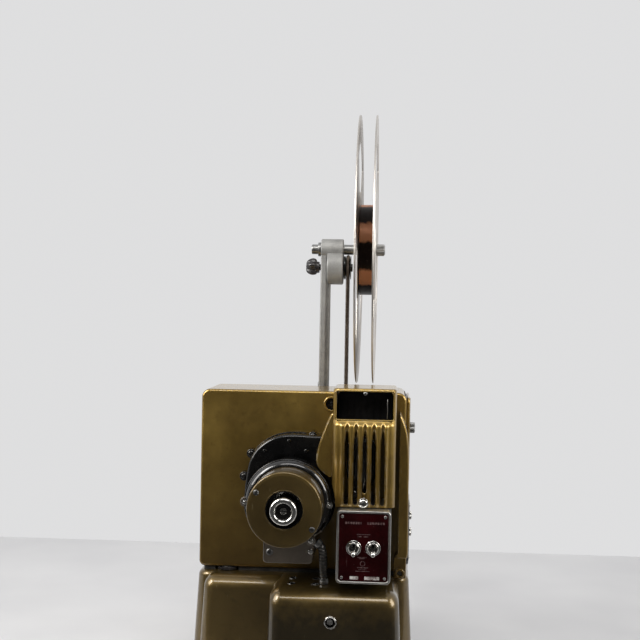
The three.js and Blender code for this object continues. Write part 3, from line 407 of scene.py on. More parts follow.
class Nodes:
    """One material's node tree, with short calls for the nodes that the looks are made of."""

    def __init__(self, name, slot):
        self.material = bpy.data.materials.new(name)
        self.material.use_nodes = True
        self.tree = self.material.node_tree
        self.shader = self.tree.nodes["Principled BSDF"]
        self.coords = self.tree.nodes.new("ShaderNodeTexCoord").outputs["Object"]

    def node(self, kind, **settings):
        made = self.tree.nodes.new(kind)
        for key, value in settings.items():
            setattr(made, key, value)
        return made

    def link(self, a, b):
        self.tree.links.new(a, b)

    def feed(self, socket, value):
        """Sets an input to a colour or a number, or links an output to it."""
        if isinstance(value, tuple):
            socket.default_value = (*value, 1)
        elif np.isscalar(value):
            socket.default_value = value
        else:
            self.link(value, socket)

    def noise(self, scale, detail=4.0, rough=0.55, stretch=None, distortion=0.0):
        tex = self.node("ShaderNodeTexNoise")
        for key, value in (("Scale", scale), ("Detail", detail), ("Roughness", rough),
                ("Distortion", distortion)):
            tex.inputs[key].default_value = value
        place = self.coords
        if stretch:
            mapping = self.node("ShaderNodeMapping")
            mapping.inputs["Scale"].default_value = stretch
            self.link(place, mapping.inputs["Vector"])
            place = mapping.outputs["Vector"]
        self.link(place, tex.inputs["Vector"])
        return tex.outputs["Fac"]

    def spots(self, scale):
        tex = self.node("ShaderNodeTexVoronoi")
        tex.inputs["Scale"].default_value = scale
        self.link(self.coords, tex.inputs["Vector"])
        return tex.outputs["Distance"]

    def span(self, value, low, high, to_low=0.0, to_high=1.0):
        made = self.node("ShaderNodeMapRange")
        for key, number in (("From Min", low), ("From Max", high), ("To Min", to_low), ("To Max", to_high)):
            made.inputs[key].default_value = number
        self.link(value, made.inputs["Value"])
        return made.outputs["Result"]

    def math(self, operation, a, b):
        made = self.node("ShaderNodeMath", operation=operation)
        for socket, value in zip(made.inputs, (a, b)):
            self.feed(socket, value)
        return made.outputs["Value"]

    def times(self, a, b):
        return self.math("MULTIPLY", a, b)

    def plus(self, a, b):
        return self.math("ADD", a, b)

    def vector(self, operation, a, b=None):
        made = self.node("ShaderNodeVectorMath", operation=operation)
        self.link(a, made.inputs[0])
        if isinstance(b, bpy.types.NodeSocket):
            self.link(b, made.inputs[1])
        elif b is not None:
            made.inputs[1].default_value = b
        return made.outputs["Value" if operation in ("DOT_PRODUCT", "LENGTH") else "Vector"]

    def mix(self, factor, a, b):
        made = self.node("ShaderNodeMix", data_type="RGBA")
        for index, value in ((0, factor), (6, a), (7, b)):
            self.feed(made.inputs[index], value)
        return made.outputs[2]

    def edges(self, width_mm):
        """1 along convex and concave edges, 0 on open faces, by how far a rounded normal leans away."""
        bevel = self.node("ShaderNodeBevel", samples=4)
        bevel.inputs["Radius"].default_value = width_mm * MM
        true = self.node("ShaderNodeNewGeometry").outputs["Normal"]
        return self.span(self.vector("DOT_PRODUCT", bevel.outputs["Normal"], true), 0.98, 0.84)

    def finish(self, colour, rough, metal, bumps=(), **constants):
        """Fills the shader. Bumps list (height, strength, distance in mm), the widest last."""
        for value, socket in ((colour, "Base Color"), (rough, "Roughness"), (metal, "Metallic")):
            self.feed(self.shader.inputs[socket], value)
        normal = None
        for height, strength, distance_mm in bumps:
            bump = self.node("ShaderNodeBump")
            bump.inputs["Strength"].default_value = strength
            bump.inputs["Distance"].default_value = distance_mm * MM
            self.link(height, bump.inputs["Height"])
            if normal is not None:
                self.link(normal, bump.inputs["Normal"])
            normal = bump.outputs["Normal"]
        if normal is not None:
            self.link(normal, self.shader.inputs["Normal"])
        for key, value in constants.items():
            self.shader.inputs[key.replace("_", " ")].default_value = value
        return self.material


def enamel(name, dark, light, deep, flake_colour, metallic, painted_low_shade, shaded=0.0):
    """Old bronze-gold enamel over die-cast metal: metal flake under a glossy coat, worn at the edges, and
    darkened towards the bottom by painted shade.
    """
    n = Nodes(name, "gold_paint")
    cloud = n.noise(14, 5, 0.6)
    fine = n.noise(95, 4, 0.6)
    flake = n.noise(3200, 2, 0.5)
    colour = n.mix(n.span(cloud, 0.36, 0.64), dark, light)
    colour = n.mix(n.span(fine, 0.56, 0.74, 0, 0.45), colour, deep)
    colour = n.mix(n.span(flake, 0.58, 0.70, 0, 0.5), colour, flake_colour)
    place = n.node("ShaderNodeSeparateXYZ")
    n.link(n.coords, place.inputs[0])
    height = n.plus(place.outputs["Z"], n.times(fine, 0.05))
    # painted shade: the colour darkens towards the bottom of the piece
    colour = n.mix(n.span(height, 0.15, 0.34, painted_low_shade, 0.0), colour, deep)
    if shaded:  # painted dark reflection of the table below, on the rear face of the base's middle, which stands out over it
        out = n.span(place.outputs["Y"], Y0 - 0.054, Y0 - 0.036, shaded, 0.0)
        colour = n.mix(n.times(out, n.span(height, 0.108, 0.138, 1.0, 0.0)), colour, (0.018, 0.015, 0.008))
    scuff = n.noise(420, 3, 0.6, (1, 1, 0.12))
    colour = n.mix(n.span(scuff, 0.70, 0.76, 0, 0.35), colour, (0.40, 0.33, 0.18))
    chip = n.times(n.edges(0.9), n.span(n.noise(210, 5, 0.65), 0.47, 0.60))
    colour = n.mix(n.times(chip, 0.75), colour, (0.42, 0.38, 0.29))
    specks = n.span(n.spots(160), 0.02, 0.045, 0.8, 0)
    colour = n.mix(specks, colour, (0.05, 0.036, 0.018))
    rough = n.plus(n.span(cloud, 0.3, 0.7, 0.27, 0.38), n.times(chip, 0.18))
    rough = n.plus(rough, n.span(n.noise(60, 5, 0.7), 0.45, 0.75, 0.0, 0.12))
    return n.finish(colour, rough, metallic,
        [(n.noise(260, 3, 0.5), 0.10, 0.06), (n.noise(24, 2, 0.5), 0.16, 0.35), (chip, -0.25, 0.05)],
        Coat_Weight=0.8, Coat_Roughness=0.08, Coat_IOR=1.5)


def black_enamel(name, dusty, worn, coat):
    n = Nodes(name, "black_enamel")
    wear = n.times(n.edges(0.8), n.span(n.noise(260, 5, 0.65), 0.50, 0.62))
    colour = n.mix(n.span(n.noise(30, 5), 0.4, 0.65), (0.0015, 0.0015, 0.0015), (0.005, 0.0045, 0.004))
    dust = n.span(n.noise(700, 4, 0.7), 0.64, 0.78, 0, dusty)
    colour = n.mix(dust, colour, (0.045, 0.040, 0.034))
    colour = n.mix(n.times(wear, worn), colour, (0.26, 0.24, 0.21))
    rough = n.plus(n.span(n.noise(85, 5, 0.65), 0.35, 0.7, 0.17, 0.36), n.times(dust, 0.4))
    return n.finish(colour, rough, n.times(wear, 0.7),
        [(n.noise(330, 3), 0.3 * dusty, 0.08), (wear, -0.3, 0.05)], Coat_Weight=coat, Coat_Roughness=0.05,
        Specular_IOR_Level=0.3)


def soot():
    """Heat-blackened metal inside the lamphouse."""
    n = Nodes("soot_black", "black_enamel")
    colour = n.mix(n.span(n.noise(60, 5), 0.4, 0.65), (0.002, 0.002, 0.002), (0.007, 0.006, 0.006))
    return n.finish(colour, n.span(n.noise(200, 4), 0.3, 0.7, 0.75, 0.95), 0.0,
        [(n.noise(500, 3), 0.2, 0.1)], Specular_IOR_Level=0.15)


def cast_grey():
    """Sand-cast light alloy: pitted, mottled, darker in the pores and rubbed bright on edges."""
    n = Nodes("grey_casting_rough", "grey_casting")
    grain = n.noise(780, 5, 0.7)
    pores = n.span(n.spots(520), 0.03, 0.13, 1, 0)
    pores = n.times(pores, n.span(n.noise(130, 3), 0.42, 0.6))
    colour = n.mix(n.span(n.noise(42, 6, 0.6), 0.36, 0.64), (0.205, 0.205, 0.2), (0.34, 0.34, 0.33))
    colour = n.mix(n.span(grain, 0.4, 0.7, 0, 0.5), colour, (0.42, 0.42, 0.41))
    colour = n.mix(n.times(pores, 0.7), colour, (0.11, 0.105, 0.095))
    rub = n.times(n.edges(0.9), n.span(n.noise(170, 4), 0.4, 0.58))
    colour = n.mix(n.times(rub, 0.6), colour, (0.55, 0.55, 0.53))
    rough = n.math("SUBTRACT", n.span(grain, 0.3, 0.7, 0.46, 0.66), n.times(rub, 0.15))
    return n.finish(colour, rough, 0.45, [(grain, 0.45, 0.12), (pores, -0.5, 0.15)])


def metal(name, slot, dark, light, rough, brush=None, stain=(0.12, 0.11, 0.10), bump=0.12, coarse=40):
    n = Nodes(name, slot)
    patch = n.noise(coarse, 6, 0.65)
    colour = n.mix(n.span(patch, 0.2, 0.8), dark, light)
    marks = n.span(n.noise(330, 5, 0.7), 0.60, 0.74, 0, 0.45)
    colour = n.mix(marks, colour, stain)
    line = n.noise(1300, 3, 0.6, brush) if brush else n.noise(900, 4, 0.6)
    rough_value = n.plus(n.span(line, 0.3, 0.7, rough[0], rough[1]), n.times(marks, 0.25))
    return n.finish(colour, rough_value, 1.0, [(line, bump, 0.03), (n.noise(180, 2), bump * 0.6, 0.06)])


def bakelite():
    n = Nodes("black_bakelite", "bakelite")
    colour = n.mix(n.span(n.noise(55, 5, 0.6), 0.36, 0.66), (0.010, 0.009, 0.010), (0.032, 0.028, 0.028))
    dust = n.span(n.noise(420, 5, 0.7), 0.60, 0.76, 0, 0.4)
    colour = n.mix(dust, colour, (0.12, 0.11, 0.10))
    rub = n.times(n.edges(0.7), 0.35)
    colour = n.mix(rub, colour, (0.085, 0.080, 0.078))
    rough = n.plus(n.span(n.noise(120, 4), 0.35, 0.65, 0.22, 0.40), n.times(dust, 0.4))
    return n.finish(colour, rough, 0.0, [(n.noise(600, 4), 0.14, 0.05)], Coat_Weight=0.3, Coat_Roughness=0.2)


def rubber():
    n = Nodes("aged_rubber", "rubber")
    colour = n.mix(n.span(n.noise(70, 6, 0.65), 0.38, 0.66), (0.018, 0.017, 0.016), (0.055, 0.052, 0.048))
    colour = n.mix(n.span(n.noise(900, 4, 0.7), 0.58, 0.74, 0, 0.5), colour, (0.12, 0.115, 0.105))
    return n.finish(colour, n.span(n.noise(260, 4), 0.3, 0.7, 0.72, 0.92), 0.0,
        [(n.noise(1100, 4), 0.4, 0.10)])


def maroon():
    """The switch plate: maroon enamel under age and finger marks, with the metal showing in scratches."""
    n = Nodes("maroon_plate", "maroon_label")
    colour = n.mix(n.span(n.noise(38, 6, 0.65), 0.36, 0.66), (0.010, 0.0006, 0.0009), (0.028, 0.0017, 0.0026))
    colour = n.mix(n.span(n.noise(260, 5, 0.7), 0.62, 0.74, 0, 0.5), colour, (0.015, 0.003, 0.003))
    scratch = n.span(n.noise(620, 2, 0.5, (1, 1, 0.05), 0.4), 0.715, 0.76)
    speck = n.span(n.spots(210), 0.02, 0.05, 1, 0)
    worn = n.math("MAXIMUM", n.times(scratch, 0.5), n.times(speck, 0.6))
    worn = n.math("MAXIMUM", worn, n.times(n.edges(0.5), 0.8))
    colour = n.mix(worn, colour, (0.33, 0.30, 0.27))
    rough = n.span(n.noise(90, 5, 0.7), 0.35, 0.7, 0.26, 0.5)
    return n.finish(colour, rough, n.times(worn, 0.7), [(n.noise(420, 4), 0.10, 0.06), (worn, -0.2, 0.03)],
        Coat_Weight=0.01, Coat_Roughness=0.2, Specular_IOR_Level=0.05)


def white_mark():
    n = Nodes("worn_white_print", "maroon_label")
    colour = n.mix(n.span(n.noise(240, 6, 0.7), 0.40, 0.60), (0.16, 0.12, 0.11), (0.66, 0.64, 0.60))
    colour = n.mix(n.span(n.noise(900, 4, 0.7), 0.56, 0.66), colour, (0.05, 0.008, 0.01))
    return n.finish(colour, n.span(n.noise(300, 3), 0.3, 0.7, 0.4, 0.65), 0.0, [(n.noise(800, 3), 0.2, 0.04)])


def faint_mark():
    n = Nodes("faint_print", "maroon_label")
    colour = n.mix(n.span(n.noise(500, 6, 0.7), 0.42, 0.60), (0.020, 0.003, 0.004), (0.17, 0.10, 0.095))
    return n.finish(colour, n.span(n.noise(300, 3), 0.3, 0.7, 0.4, 0.6), 0.0, [(n.noise(800, 3), 0.15, 0.03)])


def film():
    """Wound film seen on its edges and outer turn: brown-black, glossy, with faint turns and painted copper
    sheen bands.
    """
    n = Nodes("wound_film", "film_stock")
    shift = n.vector("SUBTRACT", n.coords, FILM_CENTRE)
    away = n.vector("LENGTH", n.vector("MULTIPLY", shift, (0, 1, 1)))
    wound = n.node("ShaderNodeTexNoise", noise_dimensions="1D")
    n.link(away, wound.inputs["W"])
    wound.inputs["Scale"].default_value = 2600
    wound.inputs["Detail"].default_value = 3
    turns = wound.outputs["Fac"]
    parts = n.node("ShaderNodeSeparateXYZ")
    n.link(shift, parts.inputs[0])
    angle = n.math("ARCTAN2", parts.outputs["Z"], parts.outputs["Y"])
    bend = n.times(n.noise(110, 3, 0.6), 1.4)
    # painted sheen: copper reflection bands that run round the roll's edge
    wave = n.math("COSINE", n.plus(n.times(angle, 6.0), n.plus(bend, 1.4)), 0)
    painted_sheen = n.span(wave, 0.05, 0.5, 0, 1)
    colour = n.mix(painted_sheen, (0.007, 0.0035, 0.0025), (0.52, 0.215, 0.105))
    colour = n.mix(n.span(turns, 0.50, 0.72, 0, 0.4), colour, (0.10, 0.045, 0.026))
    colour = n.mix(n.span(n.noise(500, 4, 0.7), 0.62, 0.76, 0, 0.35), colour, (0.20, 0.15, 0.12))
    rough = n.span(turns, 0.3, 0.7, 0.24, 0.42)
    return n.finish(colour, rough, 0.1, [(turns, 0.25, 0.05), (n.noise(140, 3), 0.08, 0.15)],
        Specular_IOR_Level=0.12)


def glass(name, thin, thick):
    n = Nodes(name, "clear_glass")
    haze = n.noise(90, 5, 0.7)
    colour = n.mix(n.span(haze, 0.4, 0.7), thin, thick)
    return n.finish(colour, n.span(haze, 0.45, 0.75, 0.02, 0.16), 0.0, [(n.noise(260, 2), 0.04, 0.03)],
        Transmission_Weight=0.92, IOR=1.5, Coat_Weight=0.3, Coat_Roughness=0.05)


GOLD = enamel("gold_enamel", (0.27, 0.170, 0.036), (0.40, 0.262, 0.058), (0.100, 0.057, 0.011),
    (0.50, 0.35, 0.105), 0.78, 0.8)
# A darker copy of the gold enamel, for the base and the motor cap: painted shade.
SHADED_GOLD = enamel("shaded_gold_enamel", (0.120, 0.078, 0.021), (0.175, 0.116, 0.032),
    (0.050, 0.032, 0.010), (0.27, 0.195, 0.070), 0.74, 0.45, 0.8)
CRADLE = enamel("brown_enamel", (0.085, 0.068, 0.050), (0.125, 0.102, 0.078), (0.060, 0.048, 0.036),
    (0.20, 0.165, 0.125), 0.45, 0.0)
BLACK = black_enamel("black_gloss_enamel", 0.3, 0.55, 0.4)
GLOSS = black_enamel("black_polished_enamel", 0.1, 0.3, 1.0)
SOOT = soot()
CAST = cast_grey()
CHROME = metal("chrome_worn", "chrome_plate", (0.58, 0.57, 0.54), (0.80, 0.79, 0.76), (0.09, 0.2), bump=0.04)
STEEL = metal("bright_steel_turned", "bright_steel", (0.30, 0.295, 0.28), (0.52, 0.51, 0.49), (0.20, 0.40))
NICKEL = metal("grey_nickel", "bright_steel", (0.22, 0.22, 0.215), (0.40, 0.40, 0.39), (0.26, 0.46))
REEL = metal("reel_aluminium", "aluminium", (0.50, 0.47, 0.435), (0.68, 0.645, 0.60), (0.28, 0.46), None,
    (0.30, 0.28, 0.25), 0.10, 26)
ALUMINIUM = metal("frame_aluminium", "aluminium", (0.38, 0.37, 0.35), (0.66, 0.65, 0.62), (0.24, 0.46),
    (1, 0.2, 1), (0.13, 0.12, 0.11), 0.2, 90)
SHEET = metal("dull_sheet_steel", "sheet_steel", (0.10, 0.10, 0.105), (0.20, 0.20, 0.205), (0.42, 0.66))
SHAFT = metal("dark_conduit", "corrugated_conduit", (0.085, 0.084, 0.082), (0.21, 0.207, 0.20),
    (0.30, 0.52), None, (0.03, 0.028, 0.026))
SPRING = metal("brown_spring_wire", "spring_belt", (0.065, 0.050, 0.040), (0.17, 0.142, 0.120),
    (0.34, 0.55), None, (0.04, 0.025, 0.018), 0.2, 160)
BAKELITE = bakelite()
RUBBER = rubber()
MAROON = maroon()
WHITE = white_mark()
FAINT = faint_mark()
FILM = film()
POLISHED = metal("polished_switch_metal", "chrome_plate", (0.66, 0.65, 0.62), (0.88, 0.87, 0.84),
    (0.16, 0.28))
GLASS = glass("clear_glass_aged", (0.90, 0.95, 0.94), (0.74, 0.80, 0.80))
SMOKED = glass("smoked_bulb_glass", (0.16, 0.15, 0.14), (0.05, 0.05, 0.048))


# ---------------------------------------------------------------- base
def flared(geo):
    """The draft of the base casting: each side leans out from the top towards the foot."""
    top, lean = 118, 0.055
    v = geo.v.copy()
    for k, middle, half in ((0, -60, 112), (1, 23.5, 98.5)):
        v[:, k] = middle + (v[:, k] - middle) * (1 + lean * (top - geo.v[:, 2]) / half)
    return Geo(v, geo.f, geo.m)


def lobe(left, right, rear, top_round, end_round):
    """One of the two rounded boxes that stand out from the base's rear."""
    outline = [(24, 10.8), (24, 118), *arc(rear + top_round, 118 - top_round, top_round, 90, 180, 14),
        (rear, 10.8)]
    return prism(outline, "x", left, right, end_round, 8)


def make_base():
    shell = slab((-172, 52, -6, 122, 14, 10), "z", 8, 118, 5.5, 7)
    side = lobe(-162, -75, -27, 14, 11)
    middle = lobe(-89, 41, -75, 18, 13)
    trim = slab((-400, 400, -400, 400, 0), "z", -50, 10.8)
    body = boolean(boolean(shell, [side, middle], "UNION"), [trim])
    sockets = [(-68, -24), (-44, -24), (-68, -46), (-44, -46)]
    cuts = [rod(3.2, 108, 125, "z", (x, y, 0), 32, mat=1) for x, y in sockets]
    cuts.append(rod(5, -80, -69, "y", BASE_SCREW_AT, 32, mat=1))
    cuts.append(slab((47, 77, 29, 53, 2), "x", -186, -168.4))
    body = boolean(flared(body), cuts)
    piece("base_shell", body, [SHADED_GOLD, BLACK], "base_casting", angle=34)
    eyelet = lathe([(3.2, -0.6), (3.2, 0.4, 0.2), (3.9, 0.55, 0.3), (4.3, 0.0)], "z", (0, 0, 118), 40)
    piece("socket_eyelets", [eyelet.moved(x, y) for x, y in sockets], SHAFT)
    pins = [lathe([(0, 109), (0.9, 109), (0.9, 116, 0.5), (0, 116)], "z", (x, y, 0), 16) for x, y in sockets]
    piece("socket_pins", pins, SHAFT)
    seat = flared(lathe([(4.9, -76.0), (5.9, -76.6, 0.4), (6.4, -75.4)], "y", BASE_SCREW_AT, 40))
    head = aimed(CROSSED, (-26.6, -73.4, 88), 4.1, 22)
    piece("base_rear_screw", [seat, head], CHROME)
    plate = merged([slab((-175, 55, -4, 125, 12, 8), "z", 8, 10.5, 0.5, 2),
        slab((-89, 41, -75, 0, 8, 8), "z", 8.02, 10.48, 0.5, 2),
        slab((-162, -88, -27, 0, 8, 8), "z", 8.01, 10.49, 0.5, 2)])
    screws = [aimed(SLOTTED, (x, y, 8.2), 3.0, 30 * i, (0, 0, -1))
        for i, (x, y) in enumerate(((-110, 8), (-60, 8), (0, 8), (-110, 114), (-60, 114), (0, 114),
        (-24, -66)))]
    louvres = [slab((-2.2, 2.2, -14, 14, 2.2, 5), "z", 7.7, 8.1, 0.3, 2).moved(-100 + 14 * i, 60)
        for i in range(7)]
    piece("base_bottom_plate", [plate] + screws + louvres, SHEET, "base_plate")
    feet = {"foot_rear_left": (-150, 14), "foot_rear_right": (28, -52), "foot_front_left": (-150, 100),
        "foot_front_right": (30, 100)}
    for name, (x, y) in feet.items():
        pad = lathe([(0, 2.6), (3.6, 2.6), (4.2, 0.1, 0.6), (9.2, 0.0, 1.4), (11.2, 2.2, 1.0),
            (11.6, 6.2, 0.8), (11.9, 7.7), (0, 7.7)], "z", (x, y, 0), 56)
        pin = aimed(SLOTTED, (x, y, 3.0), 3.0, 20, (0, 0, -1))
        piece(name + "_pad", [pad, pin.painted(1)], [RUBBER, STEEL], name)
    body = boolean(slab((49, 75, 31, 51, 4, 6), "x", -179.4, -169, 0.9),
        [slab((52.2, 71.8, 34.4, 47.6, 6.5, 8), "x", -190, -173.5)])
    pins = [lathe([(0, -181.4), (1.2, -181.4, 0.5), (1.6, -180.6, 0.3), (1.6, -173), (0, -173)], "x",
        (0, y, 41), 24, mat=1) for y in (57, 67)]
    piece("mains_inlet_body", [body] + pins, [BAKELITE, CHROME], "mains_inlet")
    clip = [(36, 118.3), (49, 118.3), *arc(43.5, 138, 5.5, 0, 90, 8), *arc(41.5, 138, 5.5, 90, 180, 8)]
    boss = lathe([(5.2, -3), (5.2, -16, 0.9), (3.0, -16, 0.4), (2.6, -12.6), (0, -12.6)], "y",
        (42.5, 0, 124), 40)
    piece("hold_down_clip",
        [prism(clip, "y", -12, -2, 1.4), boss, aimed(SLOTTED, (42.5, -13.0, 124), 2.4, 40).painted(1)],
        [GOLD, SHAFT], "head_hold_down")
    rim = prism(scallops(10.8, 40, 0.7, 6), "z", 118.3, 121.4, 0.5, 2).moved(*WHEEL_AT)
    stud = lathe([(0, 121), (6.5, 121), (6.5, 121.9, 0.4), (3, 121.9), (3, 132.3), (0, 132.3)], "z",
        WHEEL_AT, 40, mat=1)
    piece("levelling_wheel_rim", [rim, stud], [BAKELITE, STEEL], "levelling_wheel", body="levelling_wheel")


# ---------------------------------------------------------------- head
def make_head():
    seat = boolean(slab((-167, 43, 3, 80, 5, 5), "z", 118.05, 121.95, 0.4, 2),
        [rod(13.5, 110, 130, "z", WHEEL_AT, 48)])
    piece("head_seat", seat, RUBBER)
    cover = slab((-171.5, -10, 122, 311.5, [0, 0, 9, 6], 10), "y", 0, 83, 3.0, 7)
    cover.v[:, 0] = np.minimum(cover.v[:, 0], -24.3)
    hollow = slab((-167, -10, 126, 307, 3, 3), "y", 4, 79)
    motor_hole = rod(14, -2, 6, "y", (-68, 0, 203.5), 48)
    port = rod(6.4, -2, 6, "y", PORT_AT, 40, mat=1)
    stud_hole = rod(3.1, 120, 130, "z", WHEEL_AT, 32)
    cover = boolean(cover, [hollow, motor_hole, port, stud_hole])
    piece("mechanism_shell", cover, [GOLD, BLACK], "mechanism_cover", angle=34)
    ring = lathe([(6.2, 2), (6.2, -0.7, 0.4), (7.8, -0.9, 0.5), (8.6, 0.2)], "y", PORT_AT, 48)
    piece("port_rim", ring, GOLD)
    back = rod(6.3, 3.0, 3.6, "y", PORT_AT, 40)
    piece("port_plug", [back, aimed(CROSSED, (-32.5, 3.0, 298), 3.2, 15)], BLACK)
    bolts = [aimed(SLOTTED, (x, 83, z), 3.4, 25 * i, (0, 1, 0))
        for i, (x, z) in enumerate(((-160, 300), (-100, 300), (-70, 300), (-160, 134), (-100, 134),
        (-160, 217)))]
    piece("cover_front_screws", bolts, NICKEL)

    shell = slab((-34, 47, 122, 311.5, [5, 9, 0, 0], 10), "y", 0, 83, 3.2, 6)
    shell.v[:, 0] = np.maximum(shell.v[:, 0], -18.7)
    lens_hole = rod(15.3, 60, 100, "y", LENS_AT, 64, mat=1)
    light_hole = rod(14.05, -3, 6, "y", LENS_AT, 48, mat=1)
    cuts = [slab((3, 80, 125, 308.5, 3, 4), "x", -30, 60), lens_hole, light_hole,
        slab((-11, 11, 56, 76, 3, 4), "z", 300, 320), slab((-11, 11, 196, 214, 3, 4), "y", 70, 90),
        slab((1, 3.4, 269.7, 284.7, 0), "x", 40.4, 44.2)]
    shell = boolean(shell, cuts)
    boss = lathe([(15.1, 79), (15.1, 93, 0.6), (20, 93, 1.6), (20, 87, 1.2), (23, 86, 0.8), (23, 83),
        (23, 82)], "y", LENS_AT, 72)
    shelf = slab((-18.7, 47, 1, 82, 2, 3), "z", 181, 184, 0.6, 2)
    flat_screws = [aimed(SLOTTED, (18.6 * cos(a), 87.6, 238 + 18.6 * sin(a)), 1.7, 30, (0, 1, 0)).painted(2)
        for a in (0.6, 2.7, 4.7)]
    piece("film_chamber_shell", [shell, boss, shelf] + flat_screws, [GOLD, BLACK, STEEL], "film_chamber",
        angle=34)

    plate = slab((0.5, 82.5, 122, 311, 0), "x", -24, -19, 0.4, 2)
    slots = boolean(plate,
        [slab((6, 13, 194, 282, 2, 4), "x", -30, -10), slab((10, 18.5, 212, 264, 2, 4), "x", -30, -10)])
    leg = slab((20, 70, 118.3, 123, 0), "x", -24, -19)
    piece("frame_plate", [slots, leg], GOLD, "main_frame")

    door = slab((2.5, 82, 200, 306.5, 6, 8), "x", 47.3, 50.2, 1.3, 4)
    panel = slab((12, 72, 212, 262, 8, 8), "x", 49.9, 50.8, 0.8, 3)
    line = sweep([(50.15, u, v) for u, v in rounded(6.5, 78, 204.5, 302, 4, 6)], 0.5, 8, closed=True)
    knuckles = [lathe([(0, z), (2.4, z, 0.3), (2.4, z + 17.9, 0.3), (0, z + 17.9)], "z", HINGE_AT, 28)
        for z in (206, 225, 244, 263, 282)]
    caps = [lathe([(0, z - 1.0), (1.6, z - 1.0, 0.3), (1.6, z + 19.0, 0.3), (0, z + 19.0)], "z", HINGE_AT,
        20, mat=1) for z in (206, 282)]
    piece("film_door_leaf", [door, panel, line] + knuckles + caps, [GOLD, STEEL], "film_door",
        body="film_door")

    knob = prism(scallops(5.6, 18, 0.55, 6), "x", 50.5, 56.0, 0.6, 3).moved(*LATCH_AT)
    face = lathe([(0, 56.2), (3.9, 56.2, 0.3), (4.2, 55.8), (4.2, 55.0)], "x", LATCH_AT, 40)
    neck = lathe([(3, 41), (3, 50.4), (4.4, 50.4), (4.4, 51.2)], "x", LATCH_AT, 36)
    tongue = slab((11.6, 16.4, 273.7, 286.3, 1.6, 4), "x", 41, 43.6, 0.5, 2)
    piece("door_latch_grip", [knob, face, neck, tongue], NICKEL, "door_latch_knob", body="door_latch_knob")

    edge = slab((6, 79, 128, 198, 6, 8), "x", 47.3, 51.6, 1.6, 5)
    ledge = sweep([(51.5, u, v) for u, v in rounded(10, 75, 132, 194, 4, 6)], 0.45, 8, closed=True)
    piece("sound_panel", [edge, ledge], BAKELITE, "control_panel")
    dots = []
    for z in KNOB_Z.values():
        for k in range(11):
            a = radians(-60 + 30 * k)
            size = 0.45 + 0.03 * k
            dots.append(lathe([(0, 51.2), (size, 51.2), (size, 51.72, 0.1), (0, 51.72)], "x",
                (0, *polar(45, z, 7, a)), 12))
    piece("panel_dial_dots", dots, WHITE)
    corners = [aimed(SLOTTED, (51.5, y, z), 1.9, 35 * i, (1, 0, 0))
        for i, (y, z) in enumerate(((13, 135), (72, 135), (72, 191), (13, 191)))]
    jack = lathe([(2.2, 51.0), (2.2, 51.9), (4.4, 51.9, 0.5), (4.8, 51.2), (4.8, 50.8)], "x", (0, 24, 142),
        32)
    piece("panel_screws", corners + [jack, jack.moved(0, 40, 0)], CHROME)
    for name, z in KNOB_Z.items():
        grip = prism(scallops(4.6, 16, 0.5, 6), "x", 51.9, 54.8, 0.5, 3).moved(0, 45, z)
        top = lathe([(0, 55.2), (3.2, 55.2, 0.3), (3.6, 54.7), (3.6, 54.0)], "x", (0, 45, z), 36)
        post = lathe([(0, 43), (2.2, 43), (2.2, 52.4)], "x", (0, 45, z), 24)
        mark = slab((47.0, 49.0, z - 0.25, z + 0.25, 0), "x", 54.9, 55.3, mat=1)
        piece(name + "_grip", [grip, top, post, mark], [CHROME, BAKELITE], name, body=name)


